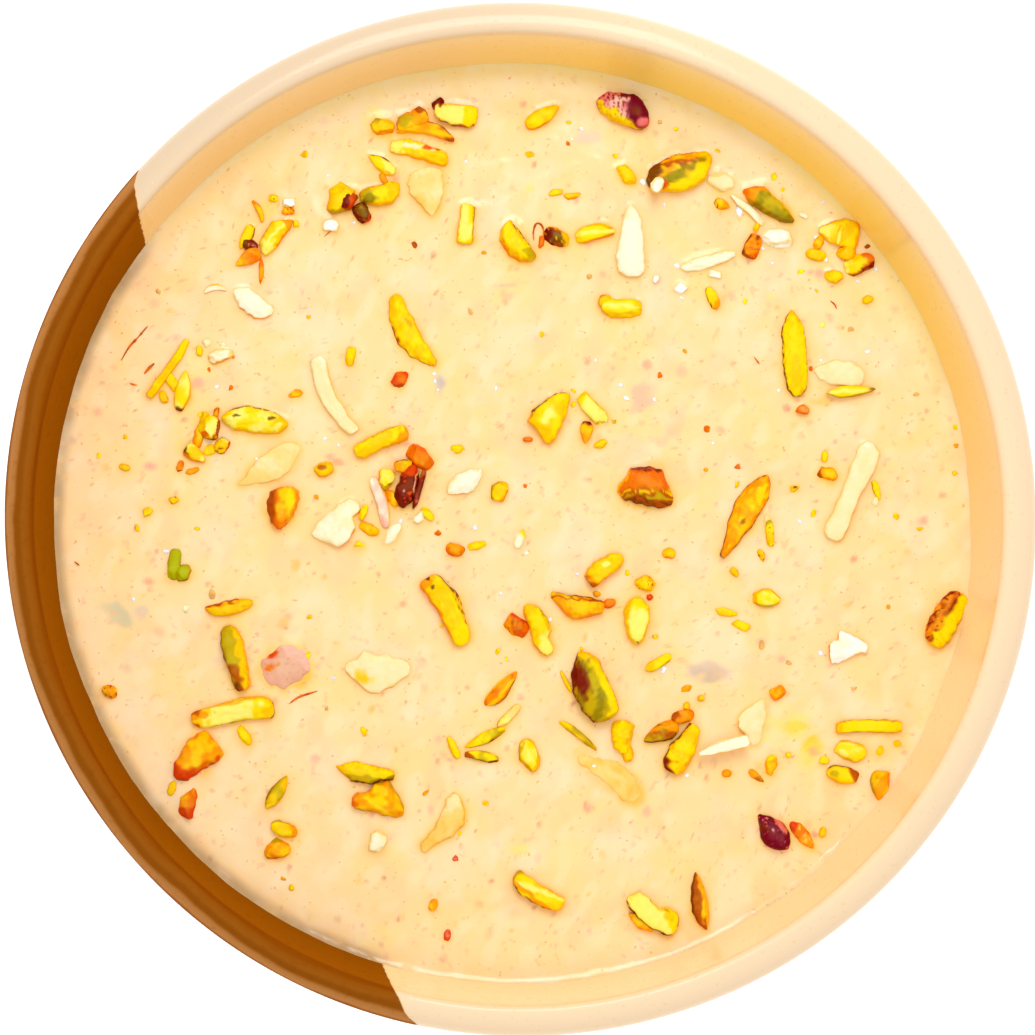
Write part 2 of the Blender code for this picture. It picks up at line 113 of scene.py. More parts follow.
# The toppings that are nodes: form, heading of the head end in degrees, roll and pitch in degrees, and
# how it looks. Place and size come from the node.
TOPPINGS = {
    "pistachio_01": ("bar", -5, 4, 0,
                     "lemon; end E 0.3 yellow; rim E gold; end NW 1.0 mahogany; rim S rust; rim N gold"),
    "pistachio_02": ("leaf", 173, 0, 0,
                     "yellow/gold; streak N 0.4 0.25 cream; end W 0.6 lemon; spot NE 0.5 0.2 flame; rim S gold"),
    "pistachio_03": ("kernel", 18, 6, 0,
                     "yellow/gold; spot W 0.8 0.4 olive; spot SW 0.7 0.4 moss; rim N olive; rim S gold; end NE 0.6 gold"),
    "pistachio_04": ("bar", -85, 8, 0,
                     "lemon; end E 0.25 yellow; rim E olive; wall W gold; end S 0.85 yellow"),
    "pistachio_05": ("chunk", -52, -8, 0,
                     "gold/yellow; rim NE brown; spot SE 0.75 0.4 olive; end NW 0.6 yellow; rim SW amber"),
    "pistachio_06": ("kernel", -32, 0, 0,
                     "olive/moss; end SE 0.5 moss; wall NE yellow; rim N yellow; end NW 0.5 amber; end NW 0.8 orange"),
    "pistachio_07": ("kernel", -10, 0, 0,
                     "gold/yellow; end W 0.35 lemon; wall gold; end E 0.9 amber"),
    "pistachio_08": ("stick", 58, 0, 0, "yellow/gold; end SW 0.6 gold; end NE 0.6 yellow"),
    "pistachio_09": ("leaf", -6, -6, 0,
                     "yellow/lemon; rim N brown; rim S gold; spot NW 0.8 0.13 mahogany; end E 0.65 gold; spot E 0.5 0.1 brown; spot W 0.5 0.07 brown"),
    "pistachio_10": ("leaf", -61, 6, 0,
                     "yellow/gold; wall W rust; rim W mahogany; rim SW mahogany; rim S mahogany; spot N 0.2 0.15 amber; end NW 0.7 gold; end SE 0.85 gold"),
    "pistachio_11": ("stick", 22, 5, 0,
                     "yellow/gold; rim N olive; end E 0.72 amber; rim S gold"),
    "pistachio_12": ("wedge", 70, 0, 0,
                     "yellow/gold; rim NW brown; rim N brown; end SW 0.55 gold; wall E gold; spot W 0.1 0.35 lemon"),
    "pistachio_13": ("leaf", 93, 0, 0,
                     "yellow; rim brown; spot S 0.5 0.45 gold; end N 0.8 gold"),
    "pistachio_14": ("stick", 9, 6, 0,
                     "lemon; end W 0.66 gold; spot W 0.8 0.26 amber; end W 0.92 rust; end E 0.5 yellow; end E 0.8 gold; rim SE brown; rim E brown; rim N gold"),
    "pistachio_15": ("stick", -58, 6, 0,
                     "yellow/gold; rim NE brown; wall SW amber; streak SW 0.5 0.12 gold; end NW 0.88 amber; spot NW 0.95 0.13 brown; end SE 0.5 yellow"),
    "pistachio_16": ("kernel", -60, 0, 0,
                     "yellow/gold; rim NE olive; end SE 0.3 lemon; rim SW amber; end NW 0.6 gold"),
    "pistachio_17": ("kernel", 90, 0, 0,
                     "lemon; wall yellow; end N 0.4 yellow; rim NE gold; spot S 0.95 0.14 brown"),
    "pistachio_18": ("chunk", 90, 0, 0, "gold/yellow; end E 0.7 yellow"),
    "pistachio_19": ("kernel", 62, 0, 0,
                     "yellow/gold; end SW 0.8 rust; end SW 0.92 mahogany; rim NW brown; rim SE gold"),
    "pistachio_20": ("bar", -33, 6, 0,
                     "yellow/gold; streak N 0.15 0.2 lemon; streak SW 0.6 0.2 amber; rim SW brown; rim NE gold; end NW 0.95 olive"),
    "pistachio_21": ("stick", -36, 0, 0,
                     "lemon; end E 0.5 yellow; rim SW mahogany; rim S mahogany; rim E mahogany; spot E 0.75 0.25 gold; spot NE 0.9 0.2 olive"),
    "pistachio_22": ("bar", 2, 0, 0, "yellow; wall gold; rim S olive; rim N olive; end E 0.9 gold; end W 0.92 gold"),
    "pistachio_23": ("leaf", 169, 8, 0,
                     "gold/yellow; end S 0.3 olive; end SE 0.6 moss; wall S brown; rim N amber; end W 0.7 gold"),
    "toasted_pistachio_01": ("chunk", 20, 0, 0,
                             "amber/gold; spot W 0.5 0.5 olive; rim N rust; end NE 0.7 rust"),
    "toasted_pistachio_02": ("kernel", 50, 8, 0,
                             "yellow/gold; streak SE 0.0 0.2 lemon; end NE 0.65 amber; rim NW olive; rim SE amber; end SW 0.4 lemon"),
    "toasted_pistachio_03": ("chunk", 90, 0, 0,
                             "amber/gold; end W 0.3 orange; end W 0.62 rust; spot NE 0.5 0.35 yellow; end S 0.75 orange; rim E amber"),
    "toasted_pistachio_04": ("leaf", 239, 0, 0,
                             "gold/amber; spot NE 0.6 0.3 yellow; spot S 0.1 0.1 rust; wall amber; rim brown"),
    "toasted_pistachio_05": ("leaf", 188, 0, 0,
                             "amber/gold; rim N mahogany; wall N rust; rim S gold; end E 0.4 gold"),
    "toasted_pistachio_06": ("kernel", -75, 0, 0,
                             "olive; end S 0.15 rust; end E 0.5 gold; end SW 0.6 olive; end S 0.85 brown; rim W moss"),
    "toasted_pistachio_07": ("chunk", 38, 0, 0,
                             "gold/amber; end S 0.3 orange; end S 0.5 flame; end SW 0.55 flame; rim S rust; spot NE 0.6 0.3 gold"),
    "toasted_pistachio_08": ("bar", 35, 0, 0,
                             "yellow/gold; end SW 0.4 gold; end SW 0.75 amber; end SW 0.95 rust; rim SE amber; spot N 0.3 0.25 lemon"),
    "toasted_pistachio_09": ("chunk", -10, 0, 0,
                             "amber/gold; rim N brown; rim S amber; end W 0.75 gold; streak N 0.6 0.08 rust"),
    "toasted_pistachio_10": ("leaf", 100, 8, 0,
                             "gold/amber; end W 0.15 rust; wall W brown; end S 0.6 rust; wall E gold"),
    "toasted_pistachio_11": ("chunk", -5, 6, 0,
                             "gold/amber; end W 0.9 orange; rim S olive; wall E olive; spot N 0.5 0.4 yellow"),
    "skinned_pistachio_01": ("kernel", -22, 0, 0,
                             "rose/pink; fleck 0.2 wine; end E 0.15 wine; spot E 0.35 0.2 mahogany; spot SE 0.9 0.35 pink; end SW 0.45 yellow; rim W olive"),
    "skinned_pistachio_02": ("kernel", 20, -8, 0,
                             "amber/gold; streak N 0.55 0.1 rust; spot SW 0.3 0.35 moss; streak SE 0.0 0.2 moss; end SE 0.25 yellow; end W 0.75 brown; rim N brown; rim W brown; spot SW 0.8 0.2 flame; end NE 0.85 gold"),
    # The small rose spot towards the south-west of skinned_pistachio_03 is a painted highlight.
    "skinned_pistachio_03": ("chunk", 72, 0, 0,
                             "mahogany; fleck 0.08 flame; end N 0.55 flame; spot SW 0.35 0.1 rose; streak E 0.55 0.07 rose; end E 0.75 mahogany; rim W mahogany"),
    "skinned_pistachio_04": ("chunk", -8, 0, 0,
                             "orange; wall W gold; end N 0.75 rust; rim N mahogany; end S 0.3 rust; streak S 0.42 0.05 gold; streak S 0.6 0.04 olive; streak S 0.78 0.06 brown; rim S brown; end E 0.82 gold; end W 0.88 gold"),
    "skinned_pistachio_05": ("wedge", -63, 6, 0,
                             "olive/moss; end NE 0.5 yellow; end E 0.4 yellow; end N 0.75 gold; spot W 0.78 0.5 mahogany; rim W mahogany; rim SW mahogany; rim E olive"),
    "skinned_pistachio_06": ("kernel", 62, 0, 0,
                             "rust/amber; streak NW 0.15 0.06 mahogany; streak NW -0.15 0.06 orange; streak NW -0.4 0.05 mahogany; rim N brown; end SE 0.55 yellow; rim SE olive"),
    # The small rose spot at the middle of skinned_pistachio_07 is a painted glint.
    "skinned_pistachio_07": ("kernel", -50, 0, 0,
                             "wine; fleck 0.1 pink; spot NE 0.65 0.32 pink; spot W 0.6 0.3 mahogany; spot S 0.35 0.5 wine; spot E 0.05 0.06 rose"),
    # On the almonds, the amber, honey and gold walls and rims towards the south are painted shade: the shadow side,
    # warmed by light through the nut.
    "almond_01": ("wedge", -80, 4, 0, "milk/honey; spot SW 0.7 0.6 honey; spot SW 0.8 0.3 syrup; rim W gold; rim S gold; rim E ivory"),
    "almond_02": ("teardrop", 92, 0, 0, "ivory; end N 0.7 cream; wall E cream"),
    "almond_03": ("leaf", 194, 0, 0, "ivory; wall S cream"),
    "almond_04": ("kernel", -25, 0, 0, "ivory; wall S amber; end E 0.7 cream"),
    "almond_05": ("flake", 28, 4, 0, "milk/honey; rim N honey; rim S ivory; end SW 0.4 honey"),
    "almond_06": ("taper", -60, 0, 0, "cream/milk; rim E honey; rim W ivory; end N 0.7 ivory"),
    "almond_07": ("leaf", 35, 0, 0, "ivory; rim S amber; end W 0.7 cream"),
    "almond_08": ("flake", 40, -10, 0, "ivory/cream; rim SE amber; streak SE 0.3 0.1 cream; rim NW cream"),
    "almond_09": ("flake", -15, 6, 0, "cream/milk; rim N honey; rim S ivory"),
    "almond_10": ("taper", 250, 6, 0, "cream/milk; rim E amber; wall E honey; rim S honey; end N 0.82 ivory"),
    "almond_11": ("flake", -8, 5, 0, "cream/milk; spot SW 0.7 0.3 gold; wall S honey; rim SW amber; rim S amber; rim N white"),
    "almond_12": ("flake", 80, 8, 0, "milk/cream; rim W gold; rim S gold; rim E ivory"),
    "almond_13": ("kernel", 60, 0, 0, "syrup/honey; end N 0.45 milk; rim E amber; wall E gold; rim S amber"),
    "almond_14": ("wedge", 15, 0, 0, "white/ivory; rim W amber; rim S honey"),
    "raised_almond_01": ("stick", 20, 0, 4, "ivory; wall S honey"),
    "soaked_almond_01": ("flake", -35, 0, 0, "syrup/honey; wall syrup; spot NE 0.2 0.25 honey"),
    "soaked_skin_01": ("flake", 20, 0, 0, "shell; spot NW 0.75 0.2 flame; spot W 0.5 0.18 orange; end NE 0.5 rose"),
}

# The outlines of those pieces, given one by one. Each row is a place along the piece, from its tail at -1 to its head
# at 1, and how far its left and its right edge reach there, in half widths to the left.
OUTLINES = {
    "pistachio_01": ((-1, .6, -.35), (-.8, .72, -.55), (0, .75, -1.1), (.6, .8, -1), (.9, .75, -.8),
        (1, .5, -.5)),
    "pistachio_02": ((-1, .8, .1), (-.85, 1, -.4), (-.4, .75, -.6), (0, .65, -.85), (.5, .5, -.95),
        (1, .45, -.7)),
    "pistachio_03": ((-1, .5, -.2), (-.8, .67, -.6), (-.3, .72, -1), (.4, .63, -1.15), (.87, .6, -.7),
        (1, .5, -.1)),
    "pistachio_04": ((-1, .2, -.45), (-.8, .95, -.5), (-.5, .88, -.7), (.5, .55, -1.1), (.87, .45, -1.25),
        (1, .4, -.8)),
    "pistachio_05": ((-1, .4, -.1), (-.9, .45, -.5), (-.6, .45, -.95), (.2, .42, -1.1), (.7, .4, -.85),
        (1, .38, -.3)),
    "pistachio_06": ((-1, .1, -.2), (-.75, .65, -.55), (-.5, 1.05, -.62), (0, .85, -.68), (.6, .62, -.6),
        (1, .15, -.15)),
    "pistachio_07": ((-1, .2, -.3), (-.7, .45, -.5), (-.3, .8, -.8), (.3, 1.1, -1), (.8, 1.1, -1.1), (1, .8, -.8)),
    "pistachio_08": ((-1, .1, -.9), (0, -.1, -1.2), (.5, -.2, -1.3), (1, -.2, -1)),
    "pistachio_09": ((-1, -.1, -.5), (-.85, .2, -.75), (-.6, .62, -1.05), (-.2, .8, -1.07),
        (.4, .6, -1.05), (.8, .3, -.95), (1, -.05, -.5)),
    "pistachio_10": ((-1, .5, -.1), (-.92, .7, -.4), (-.55, .65, -.95), (.1, .6, -1.4), (.5, .62, -1),
        (.9, .68, -.1), (1, .5, .2)),
    "pistachio_11": ((-1, .3, -1), (-.8, .4, -1.3), (0, .6, -1.1), (.5, .65, -1.3), (.9, .55, -1.2),
        (1, .1, -.8)),
    "pistachio_12": ((-1, -.3, -.75), (-.85, 0, -.9), (-.65, .5, -.92), (-.5, 1.1, -.92), (-.1, 1, -.9),
        (.4, .6, -.9), (.85, .05, -.92), (1, -.4, -.85)),
    "pistachio_13": ((-1, .35, -.35), (-.85, .7, -.8), (-.4, .9, -1), (.3, .92, -1), (.6, .85, -.8),
        (.85, .45, -.45), (1, .05, -.05)),
    "pistachio_14": ((-1, .45, -.6), (-.85, .65, -.95), (0, .9, -1), (.6, 1.05, -1), (.9, .8, -1.1),
        (1, .4, -.8)),
    "pistachio_15": ((-1, .6, -.9), (-.85, .9, -1), (-.3, 1.2, -.95), (.4, .8, -1.1), (.85, .45, -1.15),
        (1, .1, -.8)),
    "pistachio_16": ((-1, .3, -.4), (-.7, .9, -.75), (-.2, 1.07, -.75), (.25, .85, -1.1), (.42, .3, -1.25),
        (.8, .25, -1.15), (1, 0, -.8)),
    "pistachio_17": ((-1, .15, -.15), (-.77, .7, -.5), (-.1, 1, -.82), (.5, .97, -.92), (.87, .55, -.5),
        (1, .1, -.15)),
    "pistachio_18": ((-1, .8, .1), (-.7, 1.3, -.1), (-.2, 1.6, -.3), (.3, 1.7, -.5), (.7, 1.6, -.5),
        (1, 1.1, .1)),
    "pistachio_19": ((-1, .55, -.7), (-.8, .85, -.9), (-.1, 1.05, -1), (.4, .7, -.92), (.9, .5, -.6),
        (1, .45, -.35)),
    "pistachio_20": ((-1, .6, -.2), (-.9, .75, -.45), (-.6, .7, -.85), (0, .65, -.95), (.5, .7, -.85),
        (.9, .8, -.5), (1, .6, -.2)),
    "pistachio_21": ((-1, 0, -.4), (-.8, .62, -.75), (-.4, .68, -.85), (.1, .5, -.92), (.3, .9, -.92),
        (.6, 1.1, -.85), (.87, .7, -.8), (1, .4, -.6)),
    "pistachio_22": ((-1, .3, -.9), (-.8, .55, -.85), (0, .6, -.85), (.8, .4, -1.05), (1, .2, -1)),
    "pistachio_23": ((-1, .2, -.75), (-.6, .5, -.95), (-.25, 1.2, -1), (.4, 1.2, -.95), (.7, .6, -.6),
        (1, 0, -.2)),
    "toasted_pistachio_01": ((-1, .1, -.8), (-.75, .5, -1), (-.4, .8, -1), (.3, .85, -.9), (.7, .95, -.9),
        (1, .5, -.5)),
    "toasted_pistachio_02": ((-1, 0, -.8), (-.75, .55, -.95), (-.3, .85, -1), (.3, 1, -.95), (.6, .6, -.9),
        (.8, .1, -.8), (1, -.3, -.5)),
    "toasted_pistachio_03": ((-1, .45, .1), (-.7, .85, -.3), (-.4, .92, -.65), (.2, .95, -1),
        (.75, .8, -1.03), (1, .2, -.7)),
    "toasted_pistachio_04": ((-1, .1, -.25), (-.87, .5, -.6), (-.6, .85, -.9), (-.2, .88, -1.05),
        (.3, .75, -.85), (.6, .6, -.45), (.8, .5, -.25), (1, .35, -.1)),
    "toasted_pistachio_05": ((-1, .15, -.35), (-.85, .4, -.55), (-.5, .8, -.72), (.1, 1, -.7),
        (.6, .8, -.5), (.85, .5, -.45), (1, 0, -.4)),
    "toasted_pistachio_06": ((-1, .7, .1), (-.85, 1.1, -.3), (-.45, 1.35, -.6), (0, 1.3, -.6),
        (.5, 1.15, -.35), (.9, .95, -.35), (1, .7, -.2)),
    "toasted_pistachio_07": ((-1, .1, -.4), (-.7, .6, -.75), (-.2, .9, -.9), (.15, 1.2, -.95),
        (.6, 1.05, -1), (1, .9, -.8)),
    "toasted_pistachio_08": ((-1, .6, -.9), (-.6, .95, -.82), (-.3, 1.2, -.78), (.2, 1.02, -.75),
        (.7, .85, -.6), (1, .4, -.3)),
    "toasted_pistachio_09": ((-1, .95, .4), (-.5, .88, -.55), (-.1, .85, -1.15), (.3, .85, -.95),
        (1, .85, -.25)),
    "toasted_pistachio_10": ((-1, .2, -.1), (-.75, .78, -.4), (-.3, 1.1, -.65), (.2, 1.05, -.68),
        (.65, .7, -.4), (1, .1, 0)),
    "toasted_pistachio_11": ((-1, .6, 0), (-.85, .8, -.2), (-.35, 1.15, -.3), (-.2, 1.55, -.32),
        (.35, 1.55, -.35), (.8, .9, -.4), (1, .3, -.4)),
    "skinned_pistachio_01": ((-1, .2, -.25), (-.75, .8, -.62), (-.3, 1.05, -.8), (.1, 1.25, -.85),
        (.5, 1.05, -.85), (.85, .5, -.75), (1, .05, -.35)),
    "skinned_pistachio_02": ((-1, .35, -.1), (-.8, .9, -.55), (-.1, 1.1, -1), (.2, 1.05, -1.05),
        (.6, .92, -.85), (.9, .75, -.15), (1, .5, .15)),
    "skinned_pistachio_03": ((-1, .15, -.25), (-.8, .55, -.45), (-.5, 1, -.75), (.3, .85, -.8),
        (.85, .6, -.4), (1, .3, -.1)),
    "skinned_pistachio_04": ((-1, -.2, -.6), (-.8, .2, -.85), (-.65, .8, -.95), (0, .8, -1.1),
        (.5, .72, -1.05), (.75, .2, -1), (1, -.35, -.8)),
    "skinned_pistachio_05": ((-1, .3, 0), (-.85, .75, -.3), (-.6, .98, -.8), (-.1, .9, -1.25),
        (.45, .85, -1.45), (.9, .72, -1.15), (1, .4, -.6)),
    "skinned_pistachio_06": ((-1, -.35, -1.3), (-.85, .05, -1.55), (-.5, .4, -1.73), (0, .4, -1.75),
        (.5, .3, -1.7), (.9, 0, -1.6), (1, -.2, -1.3)),
    "skinned_pistachio_07": ((-1, .1, -.15), (-.6, .5, -.55), (-.2, .85, -.9), (.2, .93, -1),
        (.6, .7, -.85), (.85, .4, -.5), (1, .15, -.1)),
    "almond_01": ((-1, .6, -.5), (-.85, .9, -.9), (-.4, .95, -1.05), (0, .95, -.95), (.5, .6, -.6),
        (.8, .3, -.35), (1, .08, -.1)),
    "almond_02": ((-1, .4, -.6), (-.85, .85, -.9), (-.45, 1.05, -.95), (0, .8, -.93), (.6, .45, -.75),
        (.85, .25, -.5), (1, .05, -.2)),
    "almond_03": ((-1, .3, -.6), (-.5, .8, -.9), (.4, 1.1, -.7), (.85, .75, -.45), (1, .3, -.1)),
    "almond_04": ((-1, .3, -.2), (-.8, .6, -.45), (-.5, .85, -.9), (0, .6, -1.2), (.4, .5, -1.15),
        (.8, .3, -.85), (1, .1, -.4)),
    "almond_05": ((-1, -.2, -.4), (-.7, 0, -.7), (-.3, .55, -1.2), (.2, .7, -1.1), (.7, .8, -.75),
        (1, .3, -.2)),
    "almond_06": ((-1, .6, -1.2), (-.8, .8, -1.5), (-.45, .1, -2), (.1, -.35, -2.3), (.65, -.2, -2),
        (1, .2, -1.4)),
    "almond_07": ((-1, .15, -.2), (-.75, .65, -.55), (-.3, .92, -.95), (0, .88, -1.15), (.4, .75, -1.05),
        (.8, .35, -.6), (1, .05, -.15)),
    "almond_08": ((-1, .4, .1), (-.85, .52, -.3), (-.6, .6, -1), (-.1, .68, -1.2), (.35, .73, -.95),
        (.5, .7, -.5), (.9, .55, -.35), (1, .3, -.1)),
    "almond_09": ((-1, -.1, -.5), (-.7, .35, -.85), (-.3, .85, -1.05), (.2, 1.03, -1.1), (.65, .9, -.9),
        (1, .6, -.55)),
    "almond_10": ((-1, .5, -.3), (-.85, 1.15, -.6), (-.5, 1.15, -.75), (0, .75, -.72), (.5, .7, -.8),
        (.9, .65, -.95), (1, .4, -.7)),
    "almond_11": ((-1, .2, -.35), (-.7, .5, -.7), (-.55, .98, -.85), (-.1, .95, -1.2), (.2, .95, -1.15),
        (.5, .9, -.85), (.9, .8, -.2), (1, .6, 0)),
    "almond_12": ((-1, -.2, -.8), (-.7, .2, -.95), (-.45, .7, -.98), (-.25, .98, -1), (.2, 1.02, -.98),
        (.6, .3, -.85), (.85, -.2, -.75), (1, -.45, -.7)),
    "almond_13": ((-1, .75, .2), (-.85, .92, .05), (-.6, .78, -.15), (-.2, .6, -.75), (.35, .75, -1.15),
        (.75, .95, -.75), (1, .7, .1)),
    "almond_14": ((-1, -.4, -1), (-.85, .25, -.98), (-.62, .45, -.95), (-.38, .35, -.92), (-.25, .85, -.9),
        (-.1, .9, -.9), (.4, .45, -.85), (.85, -.1, -.82), (1, -.3, -.7)),
    "raised_almond_01": ((-1, .2, -.25), (-.65, .42, -.6), (.1, .58, -1.05), (.85, .4, -1.3),
        (1, .2, -1.05)),
    "soaked_almond_01": ((-1, .2, -.1), (-.75, .6, -.5), (0, .98, -.8), (.55, .85, -.85), (.9, .4, -.65),
        (1, .05, -.3)),
    "soaked_skin_01": ((-1, .3, -.2), (-.7, .85, -.6), (-.3, .8, -.95), (.1, 1, -.9), (.5, .9, -1),
        (.85, .6, -.65), (1, .1, -.3)),
}

